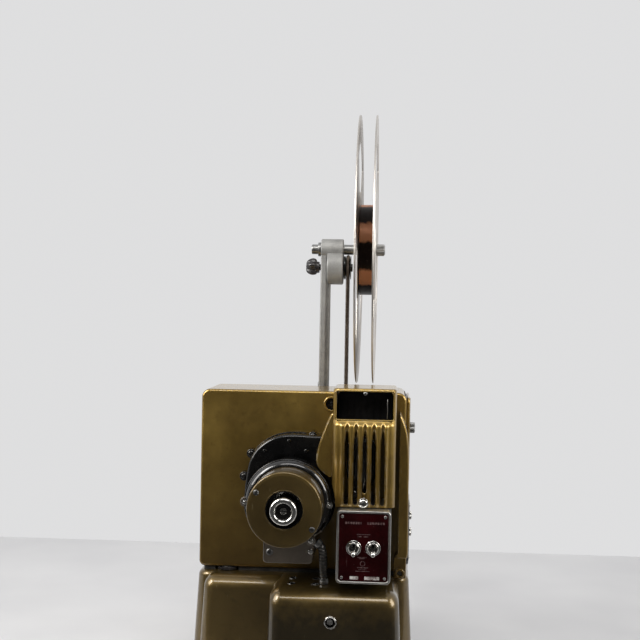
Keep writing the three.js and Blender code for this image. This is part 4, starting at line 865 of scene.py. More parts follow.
# ---------------------------------------------------------------- film path and lens
def make_film_path():
    for name, (y, z) in (("feed_sprocket", (50, 271)), ("take_up_sprocket", (50, 205))):
        worm_wheel = prism(scallops(22, 44, 1.4, 5), "x", -42.2, -34.2, 0.5, 2).moved(0, y, z)
        body = lathe([(0, -52), (4, -52, 0.4), (4, -14), (9.7, -14, 0.4), (9.7, -6.4), (7.6, -6.2),
            (7.6, 6.2), (9.7, 6.4), (9.7, 8.4), (11, 8.4, 0.3), (11, 10.4, 0.3), (4, 10.4), (4, 17, 0.5),
            (0, 17)], "x", (0, y, z), 56)
        teeth = []
        for k in range(8):
            tooth = prism([(-0.6, 9.3), (0.6, 9.3), (0.35, 10.8), (-0.35, 10.8)], "x", -8, -6.8, 0.15, 2)
            teeth.append(tooth.turned(k * pi / 4, "X").moved(0, y, z))
        piece(name + "_turned", [worm_wheel, body] + teeth, STEEL, name, body=name)
    drum = lathe([(0, -33.6), (15, -33.6, 1), (15, -25, 1), (4, -25), (4, -13), (11.6, -13, 0.4),
        (11.6, -7.5), (11, -7), (11, 2, 0.5), (8, 2, 0.4), (7.4, 1.2), (0, 1.2)], "x", (0, 26, 197), 64)
    piece("sound_drum_turned", drum, STEEL, "sound_drum", body="sound_drum")
    gate = boolean(slab((-12, 12, 218, 260, 1.5, 4), "y", 26, 28.5, 0.4, 2),
        [slab((-5.2, 5.2, 234.2, 241.8, 1, 3), "y", 20, 32)])
    rails = [slab((x, x + 2.6, 220, 258, 0.8, 3), "y", 28.2, 29.4, 0.5, 2) for x in (-10.6, 8)]
    arm = slab((-18.7, -12, 218, 260, 1, 3), "y", 24, 29.4, 0.6, 2)
    piece("film_gate_plate", [gate, arm] + rails, STEEL, "film_gate")

    barrel = hoop([(12, 33), (15, 33, 0.6), (15, 96), (15.4, 97), (17.5, 98.4, 0.8), (17.5, 134, 0.8),
        (15.5, 136, 0.6), (13, 136, 0.4), (12.6, 131.5), (10, 131), (10, 40), (12, 40)], "y", LENS_AT, 96)
    grip = prism(scallops(17.5, 60, 0.7, 4), "y", 103, 112, 0.3, 2,
        holes=[circle(0, 0, 16.4, 60)]).moved(*LENS_AT)
    inner = pipe(9.9, 10.6, 41, 130, "y", LENS_AT, 64, mat=1)
    grooves = [hoop([(17.2, y), (17.55, y, 0.1), (17.55, y + 0.8, 0.1), (17.2, y + 0.8)], "y", LENS_AT, 72)
        for y in (101, 114, 116, 118)]
    focus = [sweep([(14.8 * cos(t), 40 + 5 * t, 238 + 14.8 * sin(t)) for t in np.linspace(0, 9.4, 150)],
        0.22, 6, mat=1)]
    piece("lens_tube", [barrel, grip, inner] + grooves + focus, [ALUMINIUM, BLACK], "lens_barrel",
        body="lens")
    dome = [(9.7 * sin(t), 129.8 - 2.3 * (1 - cos(t)) / (1 - cos(1.2))) for t in np.linspace(0, 1.2, 12)]
    scale = 9.7 / dome[-1][0]
    front = lathe([(r * scale, y) for r, y in dome] + [(9.7, 124), (0, 124.6)], "y", LENS_AT, 64)
    piece("lens_front_element", front, GLASS, "lens_front_glass", body="lens")
    cond = lathe([(0, -7)] + [(14 * sin(t), -7 + 3.6 * (t / 1.57) ** 2) for t in np.linspace(0.2, 1.57, 8)]
        + [(14, 2.6, 0.5), (0, 2.6)], "y", LENS_AT, 56)
    piece("condenser_element", cond, GLASS, "condenser_lens")


# ---------------------------------------------------------------- motor and blower
VOLUTE = [(200, 46.6), (177, 47.6), (159, 50), (147, 53.6), (137, 57.8), (126, 61.6), (111, 64.6),
    (99, 65.8), (88, 66.2), (78, 67.2)]


def volute_outline(shrink=0.0):
    line = smooth_line(VOLUTE, 5)
    spiral = [polar(MX, MZ, r - shrink, radians(a)) for a, r in line]
    low = arc(MX, MZ, 47 - shrink, 33, -150, 40)
    return spiral + [(-28.3, 266.6 - shrink), (-28.3, 232 + shrink)] + low


def make_motor():
    casing = boolean(prism(volute_outline(), "y", -34, -0.3, 3.4, 6), [rod(26, -40, -30, "y", MOTOR_AT, 64)])
    seam = [(x, -17.5, z) for x, z in volute_outline(-0.25) if x < -33]
    lip = sweep(seam[:48], 0.8, 8)
    ears = []
    for x, z in ((-114.6, 246.4), (-121.6, 222.6), (-50.4, 266)):
        ears.append(lathe([(0, -22), (4.8, -22, 0.9), (4.8, -8, 0.6), (0, -8)], "y", (x, 0, z), 36))
        ears.append(aimed(SLOTTED, (x, -22, z), 3.1, 50 + x))
    piece("blower_scroll", [casing, lip] + ears, BLACK, "blower_housing", angle=34)
    dots = [aimed(CROSSED, (x, -34.0, z), 2.1, 12 * i)
        for i, (x, z) in enumerate(((-99, 251), (-74, 262), (-56, 252)))]
    piece("scroll_screws", dots, BLACK)
    blades = []
    curve = [(27, -0.7), (32, 0.6), (37.5, 3.6), (37.5, 4.8), (32, 1.8), (27, 0.5)]
    for k in range(20):
        blade = prism(curve, "y", -28, -9.6).turned(k * pi / 10, "Y")
        blades.append(blade.moved(*MOTOR_AT))
    wheel = hoop([(3.5, -28), (10, -28, 1), (38, -10, 1), (38, -8), (3.5, -8)], "y", MOTOR_AT, 64)
    rim = hoop([(34, -28), (38, -28, 0.4), (38, -26.5), (34, -26.5)], "y", MOTOR_AT, 64)
    piece("impeller_wheel", [wheel, rim] + blades, ALUMINIUM, "blower_impeller", body="motor_shaft")

    shell = hoop([(3.5, -66), (41.5, -66, 6.5), (41.5, -57.6, 0.4), (40.9, -57.2), (40.9, -56.4),
        (41.5, -56, 0.4), (41.5, -41.5, 0.4), (40.8, -41), (40.8, -40.2), (41.5, -39.7, 0.4),
        (41.5, -37, 3), (36, -34.4), (3.5, -34.4)], "y", MOTOR_AT, 128)
    slots = []
    for k in range(10):
        slot = slab((-1.3, 1.3, -57, -44, 1.3, 4), "z", 39.5, 44)
        slots.append(slot.turned(radians(36 * k + 18), "Y").moved(*MOTOR_AT))
    flare = [(37.6 + 6.9 * sin(t), -54.2 - 11.6 * cos(t)) for t in np.linspace(0, pi / 2, 14)]
    bell = hoop([(36, -53), (36, -65.8)] + flare + [(44.5, -53)], "y", MOTOR_AT, 160)
    bell = boolean(bell, [slab((MX - 60, MX + 60, 100, 184, 0), "y", -80, -40)])
    piece("motor_shell", [boolean(shell, slots), bell], GLOSS, "motor_body", angle=34)

    cap = hoop([(18.4, -80.5), (18.4, -99.7, 0.4), (19.6, -100.9, 0.5), (33.8, -101.5, 1.0),
        (36.9, -100.6, 1.4), (37.35, -97, 1.2), (37.4, -66.4), (34.6, -66.4), (34.6, -94), (21.6, -97),
        (21.6, -80.5)], "y", MOTOR_AT, 128)
    screw_places = ((-99.3, 219.3, 62), (-44.1, 184.6, -18))
    seats = [rod(3.0, -104, -100.2, "y", (x, 0, z), 28, mat=1) for x, z, _ in screw_places]
    floor = pipe(3.5, 18.6, -80.4, -78, "y", MOTOR_AT, 64, mat=1)
    piece("motor_cap", [boolean(cap, seats), floor], [SHADED_GOLD, BLACK], "motor_end_cap", angle=34)
    liner = pipe(17.9, 18.38, -80.6, -99.8, "y", MOTOR_AT, 96)
    piece("cap_bore_liner", liner, BLACK)
    screws = [aimed(SLOTTED, (x, -100.3, z), 2.7, s) for x, z, s in screw_places]
    piece("cap_screws", screws, SHAFT)

    knob = hoop([(3.5, -90), (12, -90, 0.4), (12, -98, 0.4), (13.3, -99.6, 0.8), (13.6, -102, 1)]
        + [(10.7 + 2.9 * cos(t), -108.4 - 3.0 * sin(t)) for t in np.linspace(0, pi, 16)]
        + [(7.8, -105.6), (3.5, -105.6)], "y", MOTOR_AT, 96)
    cup = pipe(3.45, 7.6, -105.9, -105.4, "y", MOTOR_AT, 48, mat=1)
    piece("inching_ring", [knob, cup], [CHROME, BLACK], "inching_knob", body="motor_shaft")
    shutter_x, _, shutter_z = SHUTTER_AT
    gear_r = hypot(shutter_x - MX, shutter_z - MZ) / 2
    line = degrees(atan2(shutter_z - MZ, shutter_x - MX))
    gear_place = ("y", 12, 17, 0.3, 2)
    shaft = lathe([(0, -106), (3.0, -106, 0.4), (3.4, -105), (3.4, -2), (4, -2), (4, 20, 0.5), (0, 20)],
        "y", MOTOR_AT, 40)
    grub = slab((-3.6, 3.6, -0.5, 0.5, 0), "y", -106.15, -105.8, mat=1).moved(*MOTOR_AT)
    piece("motor_spindle", [shaft, prism(cog(MX, MZ, gear_r, 20, 3.6, line), *gear_place), grub],
        [STEEL, BLACK], "motor_shaft", body="motor_shaft")
    windows = [arc(0, 0, 40, a + 20, a + 70, 16) + arc(0, 0, 26, a + 70, a + 20, 10) for a in (0, 180)]
    disc = prism(circle(0, 0, 42.5, 96), "y", 8.5, 10, 0.2, 2, holes=windows).moved(*SHUTTER_AT)
    worms = [(9, y, 1.2) if i % 2 == 0 else (7.4, y, 1.2) for i, y in enumerate(np.linspace(41, 59, 13))]
    worm = lathe([(0, 3.6), (3, 3.6, 0.4), (3, 40), (7.4, 40)] + worms
        + [(7.4, 60), (3, 60), (3, 78, 0.4), (0, 78)], "y", SHUTTER_AT, 40)
    piece("shutter_disc",
        [disc, worm, prism(cog(shutter_x, shutter_z, gear_r, 20, 3.6, line + 180 + 9), *gear_place)], BLACK,
        "shutter", body="shutter")

    outline = [*arc(-50, 145.5, 4, -90, 0, 6), (-44.5, 170), *arc(MX, MZ, 44.5, -40, 0, 14),
        *arc(MX, MZ, 44.5, 4, 208, 60), *arc(MX, MZ, 44.5, 212, 232, 8), (-96, 168),
        *arc(-92, 145.5, 4, 180, 270, 6)]
    front = prism(outline, "y", -61, -54, 1.1, 4, holes=[circle(MX, MZ, 42, 96)])
    middles = [front.v[list(f), 2].mean() for f in front.f]
    front.m = [1 if z > 176 else 0 for z in middles]
    shelf = slab((-94, -46, 142.6, 150, 1.5, 4), "y", -55, -0.3, 0.8, 2)
    back = slab((-94, -46, 142.6, 157, 3, 5), "y", -6, -0.3, 0.8, 2)
    bosses = [lathe([(0, -61.8), (5, -61.8, 0.8), (5, -55, 0.4), (0, -55)], "y", (x, 0, z), 36)
        for x, z in ((-115.0, 202.8), (-47.4, 165.4))]
    piece("motor_cradle", [front, shelf, back] + bosses, [CRADLE, BLACK], "motor_bracket", angle=34)
    nuts = [aimed(g, at, k, s) for g, at, s, k in ((HEX_NUT, (-115.0, -61.7, 202.8), 10, 3.4),
        (HEX_NUT, (-30.6, -61.0, 201.6), 20, 3.4), (DOME_NUT, (-47.4, -61.7, 165.4), 0, 2.7),
        (CROSSED, (-47.9, -60.8, 154.4), 30, 2.9))]
    ear = prism(circle(-30.6, 201.6, 4.4, 32), "y", -61, -56, 0.6, 2)
    piece("tie_bolt_nuts", nuts + [ear], CHROME)
    piece("cradle_screw", [aimed(CROSSED, (-89.4, -60.8, 152.9), 3.6, 15)], SHAFT)

    path = smooth_line([(-42, -57, 163), (-37.5, -57, 159), (-35.8, -56, 152), (-35.6, -52, 142),
        (-35.4, -46, 130), (-35, -44, 120)], 40)
    hose = sweep(path, lambda s, t: 3.1 + 1.05 * abs(cos(pi * s / 3.7)) ** 0.7, 28)
    ferrule = lathe([(0, 118.3), (4.8, 118.3, 0.4), (4.8, 121.2, 0.6), (4.5, 121.8), (4.5, 124, 0.6),
        (0, 124)], "z", (-35, -44, 0), 36, mat=1)
    tip = aimed(lathe([(0, -2.5), (4.9, -2.5, 0.4), (4.9, 2.2, 0.6), (0, 2.2)], "z", (0, 0, 0), 36, mat=1),
        (-40.6, -57, 161.9), 1, 0, (1, 0, -0.9))
    piece("conduit_hose", [hose, ferrule, tip], [SHAFT, NICKEL], "motor_conduit", angle=50)


# ---------------------------------------------------------------- lamphouse
SLOT_X = [VENT_X + 9 * k for k in (-2, -1, 0, 1, 2)]
RIB_X = [VENT_X + 9 * (k + 0.5) for k in (-3, -2, -1, 0, 1, 2)]


def smoothstep(value, low, high):
    t = min(max((value - low) / (high - low), 0.0), 1.0)
    return t * t * (3 - 2 * t)


def lamphouse_rear(x, z):
    """How far back the cover's rear wall stands: recessed round the vent, with fluted ribs below it."""
    wall = -60.2 - 3.8 * (1 - smoothstep(z, 282.5, 288.5))
    run = smoothstep(z, 200.9, 205) * (1 - smoothstep(z, 280.5, 286))
    if run <= 0 or x < -21 or x > 30.5:
        return wall
    nearest = min(RIB_X, key=lambda r: abs(r - x))
    off = abs(x - nearest)
    spread = 1.9 + 1.5 * smoothstep(z, 262, 281)
    crest = max(0.0, 1 - (off / spread) ** 2) ** 0.5
    return wall - run * (1.7 * crest - 1.3 * (1 - crest))


def lamphouse_section(z, shrink):
    left, right, r = -28 + shrink, 36 - shrink, 9 - shrink * 0.5
    xs = np.linspace(left + r, right - r, 151)
    wall = lamphouse_rear(-27.5, z) + shrink
    ring = []
    for t in np.linspace(pi, 1.5 * pi, 12)[:-1]:
        ring.append((left + r + r * cos(t), wall + r + r * sin(t), z))
    for x in xs:
        ring.append((x, lamphouse_rear(x, z) + shrink, z))
    for t in np.linspace(1.5 * pi, 2 * pi, 12)[1:]:
        ring.append((right - r + r * cos(t), wall + r + r * sin(t), z))
    return ring + [(right, -0.3, z), (left, -0.3, z)]


def lancet(x, low):
    """A ventilating slot: a round foot, parallel sides and a narrow pointed head."""
    half = 2.6
    side = [(half, low + half), (half, 258), (2.35, 266), (1.75, 273), (1.0, 277.6), (0.45, 279.4)]
    side = smooth_line(side, 4)
    foot = arc(0, low + half, half, 180, 360, 12)[1:-1]
    outline = [(-u, v) for u, v in reversed(side)] + foot + side
    return [(x + u, v) for u, v in outline]


def make_lamphouse():
    levels = sorted({*np.linspace(200.5, 206, 8), *np.linspace(206, 262, 15), *np.linspace(262, 290, 29),
        *np.linspace(290, 317, 5)})
    rings = [lamphouse_section(200.5, 0.8)] + [lamphouse_section(z + (0.4 if z < 200.6 else 0), 0)
        for z in levels]
    for t in np.linspace(0.15, pi / 2, 6):
        rings.append([(x, y, 317 + 2.5 * sin(t)) for x, y, _ in lamphouse_section(317, 2.5 * (1 - cos(t)))])
    body = loft(rings)
    lows = [214.5 if x == VENT_X else 202.5 for x in SLOT_X]
    cuts = [slab((-25.4, 33.4, -61.2, 6, [6, 0, 0, 6], 5), "z", 190, 283, mat=1),
        slab((-25.0, 33.0, -56.9, 6, [4, 0, 0, 4], 5), "z", 282, 316.8, mat=1),
        slab((-24.3, 32.7, 288.5, 316.3, 1.2, 5), "y", -72, -50), rod(48, -80, 4, "y", MOTOR_AT, 160),
        rod(2.4, -80, -50, "y", (4.4, 0, 206), 24, mat=1)] + [prism(lancet(x, low), "y", -72, -58)
        for x, low in zip(SLOT_X, lows)]
    body = boolean(body, cuts)
    beads = []
    for x, low in zip(SLOT_X, lows):
        edge = [(u, lamphouse_rear(u + (0.3 if u > x else -0.3), v) + 0.15, v) for u, v in lancet(x, low)]
        beads.append(sweep([p for p in edge if p[1] < -61.5], 0.42, 8, closed=True))
    frame_line = [(u, -60.4, v) for u, v in rounded(-25.1, 33.5, 287.8, 317.1, 1.8, 6)]
    beads.append(sweep(frame_line, 0.8, 10, closed=True))
    piece("lamphouse_shell", [body] + beads, [GOLD, SOOT], "lamphouse_cover", body="lamphouse", angle=44)
    clip = aimed(SLOTTED, (4.4, -60.2, 314.6), 1.9, 25)
    wire = sweep(smooth_line([(26.6, -55, 289), (26.9, -56, 297), (26.7, -56, 305), (26.9, -55, 309)], 6),
        0.4, 8)
    piece("vent_screw_and_wire", [clip, wire], NICKEL, body="lamphouse")
    screens = [slab((-22.5, 31.5, 284, 316.3, 1, 3), "y", -46, -44.5, 0.3, 2)]
    for k in range(7):
        screens.append(slab((-20 + 7 * k, -15.5 + 7 * k, 287, 313, 2, 4), "y", -46.4, -46, 0.15, 2))
    shelf = boolean(slab((-22.5, 31.5, -46, -12, 1, 3), "z", 283, 284.6, 0.3, 2),
        [rod(15, 280, 290, "z", (4, -32, 0), 48)])
    piece("light_baffle", screens + [shelf], SOOT, "lamphouse_baffle", body="lamphouse")
    head = hoop([(2.7, -3.0), (2.7, -7.6, 0.3), (3.3, -8.3, 0.5), (4.2, -7.6, 0.6), (4.3, -3.4),
        (5, -3.4, 0.3), (5, -2.4), (2.7, -2.4)], "y", (4.4, -65, 206), 64)
    slot = aimed(SLOTTED, (4.4, -71.4, 206), 2.66, 38)
    stem = lathe([(0, -67), (2, -67), (2, -52.2, 0.5), (0, -52)], "y", (4.4, 0, 206), 24)
    piece("lamphouse_fixing", [head, stem, slot.painted(1)], [CHROME, SHAFT], "lamphouse_screw",
        body="lamphouse")

    left = smooth_line([(-28.3, 294), (-31.5, 290), (-37.5, 275), (-41.8, 262), (-44.5, 249), (-43.6, 241),
        (-39.5, 235), (-32, 229.5), (-28.3, 228)], 8)
    duct = prism([(-26, 294.2)] + left + [(-26, 228)], "y", -52, -35, 2.2, 6)
    duct.v[:, 0] = np.minimum(duct.v[:, 0], -28.3)
    rim = sweep([(x + 0.9, -50.9, z) for x, z in left[6:-6]], 0.75, 8)
    piece("duct_wing", [duct, rim], GOLD, "blower_duct", angle=34)
    right = smooth_line([(49.5, 242), (48.8, 260), (47.4, 273), (44.5, 284), (41.5, 291)], 8)
    wing = prism([(38, 146), (48.5, 146), (49.6, 147.5), (50.2, 152)] + right + [(40, 294), (38, 294)], "y",
        -44, -0.3, 2.4, 6)
    wing.v[:, 0] = np.maximum(wing.v[:, 0], 40)
    piece("side_wing", wing, GOLD, "lamphouse_side", angle=34)
    bulb = [(0, -36), (7, -36, 0.5), (7, -26, 2), (12, -19, 4), (15, -10, 6), (15, 20, 6), (12, 28, 5),
        (0, 31.6)]
    piece("lamp_bulb", lathe(bulb, "z", LAMP_AT, 48), SMOKED, "projection_lamp")
    floor = slab((-17, 19, -50, -8, 3, 5), "z", 200.1, 201.7, 0.4, 2)
    cup = hoop([(7.4, 201), (13, 201), (13, 211, 0.8), (7.4, 211, 0.4)], "z", (1, -34, 0), 48)
    piece("lamp_holder", [floor, cup], BAKELITE, "lamp_socket")


# ---------------------------------------------------------------- switches
def make_switches():
    outline = rounded(-21.5, 32.5, 127.5, 199.8, 4.6, 10)
    inner = rounded(-19.2, 30.2, 129.8, 197.5, 2.8, 8)
    box = prism(outline, "y", -76.4, -0.3, 0.8, 3)
    lip = prism(outline, "y", -78, -75.2, 0.85, 5, holes=[inner])
    box = boolean(box, [slab((-16.5, 27.5, 135, 192, 2, 3), "y", -79, -4, mat=1)])
    piece("switch_case", [box, lip], [ALUMINIUM, BLACK], "switch_box", angle=34)
    plate = boolean(slab((-19.0, 30.0, 130, 197.3, 2.4, 6), "y", -77.2, -75.9, 0.3, 2),
        [rod(5.6, -80, -70, "y", (x, 0, SWITCH_Z), 40) for x in SWITCH_X.values()])
    piece("switch_face", plate, MAROON, "switch_plate")
    corners = [aimed(SLOTTED, (x, -76.9, z), 1.55, s)
        for x, z, s in ((-15.8, 194, 20), (26.8, 194, 75), (-15.8, 133.4, -30), (26.8, 133.4, 50))]
    piece("switch_face_screws", corners, STEEL)

    def label(x0, x1, z0, z1):
        return slab((x0, x1, z0, z1, min(0.4, (z1 - z0) / 2 - 0.01), 3), "y", -77.32, -77.1, 0.05, 1)

    fields = [label(-7.6, 0.9, 131.8, 135.0), label(6.9, 21.6, 131.7, 135.0)]
    piece("switch_face_fields", fields, WHITE)
    bars = []
    for x, widths in ((-12.9, (2.2, 1.6, 2.0, 1.5, 2.0, 1.5, 1.3)),
            (9.0, (1.4, 1.9, 2.4, 1.5, 1.9, 1.9, 1.9))):
        for w in widths:
            bars.append(label(x, x + w, 186.6, 188.9))
            x += w + 0.7
    bars += [label(-1.6, 12.0, 176.2, 176.9), label(-0.6, 3.6, 174.0, 174.7), label(5.4, 10.4, 174.0, 174.7)]
    bars += [label(-0.2, 9.2, 153.6, 154.2), label(1.0, 7.8, 152.4, 152.9)]
    bars += [label(-0.6, 10.4, 143.2, 144.1), label(0.8, 9.0, 141.4, 142.0), label(-2.0, 12.2, 139.8, 140.3)]
    badge = hoop([(2.0, -77.1), (2.0, -77.3), (2.6, -77.3), (2.6, -77.1)], "y", (5.0, 0, 147.6), 32)
    piece("switch_face_print", bars + [badge], FAINT)
    for name, x in SWITCH_X.items():
        collar = lathe([(4.2, -3.2), (5.0, -3.2, 0.4), (5.6, -1.8, 0.8), (7.5, -1.3, 0.8), (7.8, 0.5),
            (5.2, 0.5), (5.2, 16), (8, 16, 0.6), (8, 30, 0.6), (0, 30), (0, 11), (4.2, 11)], "y",
            (x, -78, SWITCH_Z), 64)
        nut = prism(arc(0, 0, 5.2, 8, 308, 5), "y", -80.9, -79.2, 0.25, 2,
            holes=[circle(0, 0, 4.25, 40)]).moved(x, 0, SWITCH_Z)
        piece(name + "_switch_collar", [collar, nut], CHROME, name + "_switch_body")
        bat = lathe([(0, -15), (1.7, -14.9, 1.0), (2.6, -12.9, 1.6), (2.2, -9.2, 2), (1.45, -3),
            (1.5, 7.5, 0.5), (0, 8.2)], "y", (0, 0, 0), 40)
        bat = bat.turned(radians(19), "X").moved(x, -77, SWITCH_Z)
        piece(name + "_switch_bat", bat, POLISHED, name + "_switch_lever", body=name + "_switch_lever")


# ---------------------------------------------------------------- arms, reel and belts
PULLEY = [(13.3, -26.2, 0.5), (13.3, -24.4, 0.4), (9.7, -24.0, 1.2), (9.7, -19.2, 1.2), (13.3, -18.8, 0.3),
    (13.3, -18.0, 0.3)]


def belt(name, body, start, end):
    (y0, z0), (y1, z1) = start, end
    line = degrees(atan2(z1 - z0, y1 - y0))
    corner = arc(y1, z1, 12.5, line - 90, line + 90, 40) + arc(y0, z0, 12.5, line + 90, line + 270, 40)
    path = []
    for i, (u, v) in enumerate(corner):
        nu, nv = corner[(i + 1) % len(corner)]
        n = max(1, int(hypot(nu - u, nv - v) / 0.34))
        path += [(PULLEY_X, u + (nu - u) * k / n, v + (nv - v) * k / n) for k in range(n)]
    coil = sweep(path, lambda s, t: 1.75 + 0.4 * cos(2 * pi * s / 1.36 - t), 14, closed=True)
    piece(body + "_" + name, coil, SPRING, name, body=body, angle=80)


def arm_gear(z, teeth, phase):
    blunt = ((-0.29, -0.6), (-0.12, 0.4), (0.12, 0.4), (0.29, -0.6))
    return prism(cog(AY, z, 20.6 * teeth / 48, teeth, 1.7, phase, blunt), "x", -40, -32, 0.2, 2)


def make_feed_arm():
    outer = arc(AY, DRIVE_Z, 13, 180, 360, 28) + arc(AY, FEED_Z, 9.5, 0, 180, 24)
    web = arc(AY, DRIVE_Z, 10, 180, 360, 24) + arc(AY, FEED_Z, 6, 0, 180, 20)
    bar = prism(outer, "x", -52.5, -45.5, 1.6, 5)
    rib = prism(web, "x", -47.5, -41.5, 1.2, 4)
    upper = lathe([(0, -52.5), (12, -52.5, 1.4), (12, -27, 1.2), (0, -27)], "x", FEED_AT, 72)
    lower = lathe([(0, -45.2), (19.5, -45.2, 1.8), (19.5, -27, 1.6), (0, -27)], "x", REWIND_AT, 96)
    solid = boolean(bar, [rib, upper, lower], "UNION")
    bores = [rod(r, -60, -20, "x", (0, AY, z), 48, mat=1)
        for r, z in ((6.05, DRIVE_Z), (4.05, FEED_Z), (3.55, REWIND_Z))]
    rooms = [rod(r, -40.8, -31.2, "x", (0, AY, z), 48, mat=1) for r, z in ((13.4, REWIND_Z), (10, FEED_Z))]
    piece("feed_arm_casting", boolean(solid, bores + rooms), [CAST, BLACK], "feed_arm", body="feed_arm",
        angle=40)
    grub = [aimed(SLOTTED, (-36, AY + 11.8, FEED_Z), 2.2, 30, (0, 1, 0)),
        aimed(SLOTTED, (-34, AY + 19.2, REWIND_Z - 2), 2.2, 70, (0, 1, 0)),
        aimed(SLOTTED, (-52.4, AY, 312), 2.6, 20, (-1, 0, 0))]
    piece("feed_arm_screws", grub, NICKEL, body="feed_arm")
    belt("feed_belt", "feed_arm", (AY, DRIVE_Z), (AY, REWIND_Z))

    spindle = lathe([(0, -63.5), (5.2, -63.5, 0.4), (5.6, -62.6), (5.6, -56), (8, -56, 0.3), (8, -53),
        (4, -53), (4, -26.4), (5.8, -26.4, 0.4), (5.8, -12, 0.6), (4, -12), (4, 9.9), (0, 9.9)], "x",
        FEED_AT, 48)
    spindle = boolean(spindle, [slab((AY - 0.9, AY + 0.9, FEED_Z - 8, FEED_Z + 8, 0), "x", -66, -60)])
    grip = prism(scallops(6.6, 24, 0.5, 5), "x", 10.6, 19.6, 0.6, 3).moved(*FEED_AT)
    end = lathe([(0, 9.9), (5.6, 9.9), (5.6, 20.4, 0.8), (0, 20.4)], "x", FEED_AT, 40)
    key = slab((-1.2, 1.2, 3.4, 5.4, 0.4, 3), "x", 3, 10.4, 0.3, 2).moved(*FEED_AT)
    piece("reel_spindle", [spindle, grip, end, arm_gear(FEED_Z, 20, 279), key], NICKEL, "feed_spindle",
        body="feed_spindle")

    shaft = lathe([(0, -62), (3.2, -62, 0.4), (3.5, -61), (3.5, -26.2)] + PULLEY
        + [(4.6, -18), (4.6, -16.4, 0.5), (0, -16.4)], "x", REWIND_AT, 72)
    hex_end = aimed(HEX_NUT, (-18.5, AY, REWIND_Z), 4.4, 10, (1, 0, 0))
    hex_end.v[:, 0] = np.minimum(hex_end.v[:, 0], -16.4)
    piece("rewind_pulley", [shaft, arm_gear(REWIND_Z, 28, 90), hex_end.painted(1)], [BLACK, NICKEL],
        "rewind_shaft", body="rewind_shaft")
    layers = []
    for x, size in ((-69.6, 0.42), (-69.3, 0.55), (-68.4, 0.70), (-66.8, 0.84), (-64.6, 0.95), (-62.4, 1.0),
            (-60.2, 0.985), (-58.6, 0.92), (-57.6, 0.80), (-57.2, 0.66)):
        layers.append([(x, AY + u * size, REWIND_Z + v * size) for u, v in scallops(10.4, 5, 3.2, 20, 20)])
    knob = loft(layers)
    skirt = hoop([(3.8, -54.4), (6.4, -54.4, 0.6), (6.8, -58.4), (3.8, -58.4)], "x", REWIND_AT, 48)
    piece("rewind_grip", [knob, skirt], BAKELITE, "rewind_knob", body="rewind_shaft", angle=50)


def make_reel():
    windows = []
    for mid in (90, 210, 330):
        rim = arc(AY, FEED_Z, 122, mid - 36, mid + 36, 40)
        hub = arc(AY, FEED_Z, 66, mid + 27, mid - 27, 22)
        corners = (rim[0], rim[-1], hub[0], hub[-1])
        windows.append(fillet([(*p, 8 if p in corners else 0) for p in rim + hub], 6))
    parts = []
    for side in (-1, 1):
        x = 9.4 * side
        parts.append(prism(circle(AY, FEED_Z, 151.6, 160), "x", x - 0.5, x + 0.5, 0.18, 2, holes=windows
            + [circle(AY, FEED_Z, 4.05, 32)]))
        rim = [(x, u, v) for u, v in circle(AY, FEED_Z, 151.5, 192)]
        parts.append(sweep(rim, lambda s, t: 0.9, 10, closed=True))
        for r in (128.5, 60):
            bead = [(x + 0.42 * side, u, v) for u, v in circle(AY, FEED_Z, r, 160)]
            parts.append(sweep(bead, 0.38, 8, closed=True))
        for window in windows:
            parts.append(sweep([(x, u, v) for u, v in _inset(_wound(window, False), 0.2)], 0.62, 8,
                closed=True))
        parts.append(hoop([(4.2, x), (14.5, x), (14.5, x + 0.9 * side, 0.3), (12.6, x + 0.95 * side, 0.3),
            (12.2, x + 0.7 * side), (4.2, x + 0.7 * side)], "x", FEED_AT, 64))
        for k in range(6):
            a = radians(60 * k + 30)
            parts.append(lathe([(0, x), (1.1, x), (1.1, x + 0.95 * side, 0.3), (0, x + 1.0 * side)], "x",
                (0, *polar(AY, FEED_Z, 10, a)), 16))
    parts.append(pipe(4.05, 16, -9, 9, "x", FEED_AT, 72))
    piece("reel_flanges", parts, REEL, "feed_reel", body="feed_spindle", angle=40)
    rng = np.random.default_rng(16)
    r = 16.3
    profile = [(r, -8.0)]
    while r < 51.2:
        profile.append((r, -7.9 + 0.22 * rng.random()))
        r += 1.1 + 1.6 * rng.random()
    profile += [(51.2, -7.95, 0.1), (51.45, -7.7, 0.1), (51.45, 7.7, 0.1), (51.2, 7.95)]
    while r > 17:
        r -= 1.1 + 1.6 * rng.random()
        profile.append((max(r, 16.4), 7.9 - 0.22 * rng.random()))
    profile.append((16.3, 8.0))
    roll = hoop([p for p in profile if p[0] <= 51.5], "x", FEED_AT, 128)
    tail = [polar(AY, FEED_Z, 51.1 + 0.36 * min(1, k / 6), t)
        for k, t in enumerate(np.linspace(4.6, 7.0, 40))]
    tail += [polar(AY, FEED_Z, 51.0, t) for t in np.linspace(7.0, 4.6, 40)]
    piece("wound_film_roll", [roll, prism(tail, "x", -7.9, 7.9)], FILM, "film_roll", body="feed_spindle",
        angle=30)


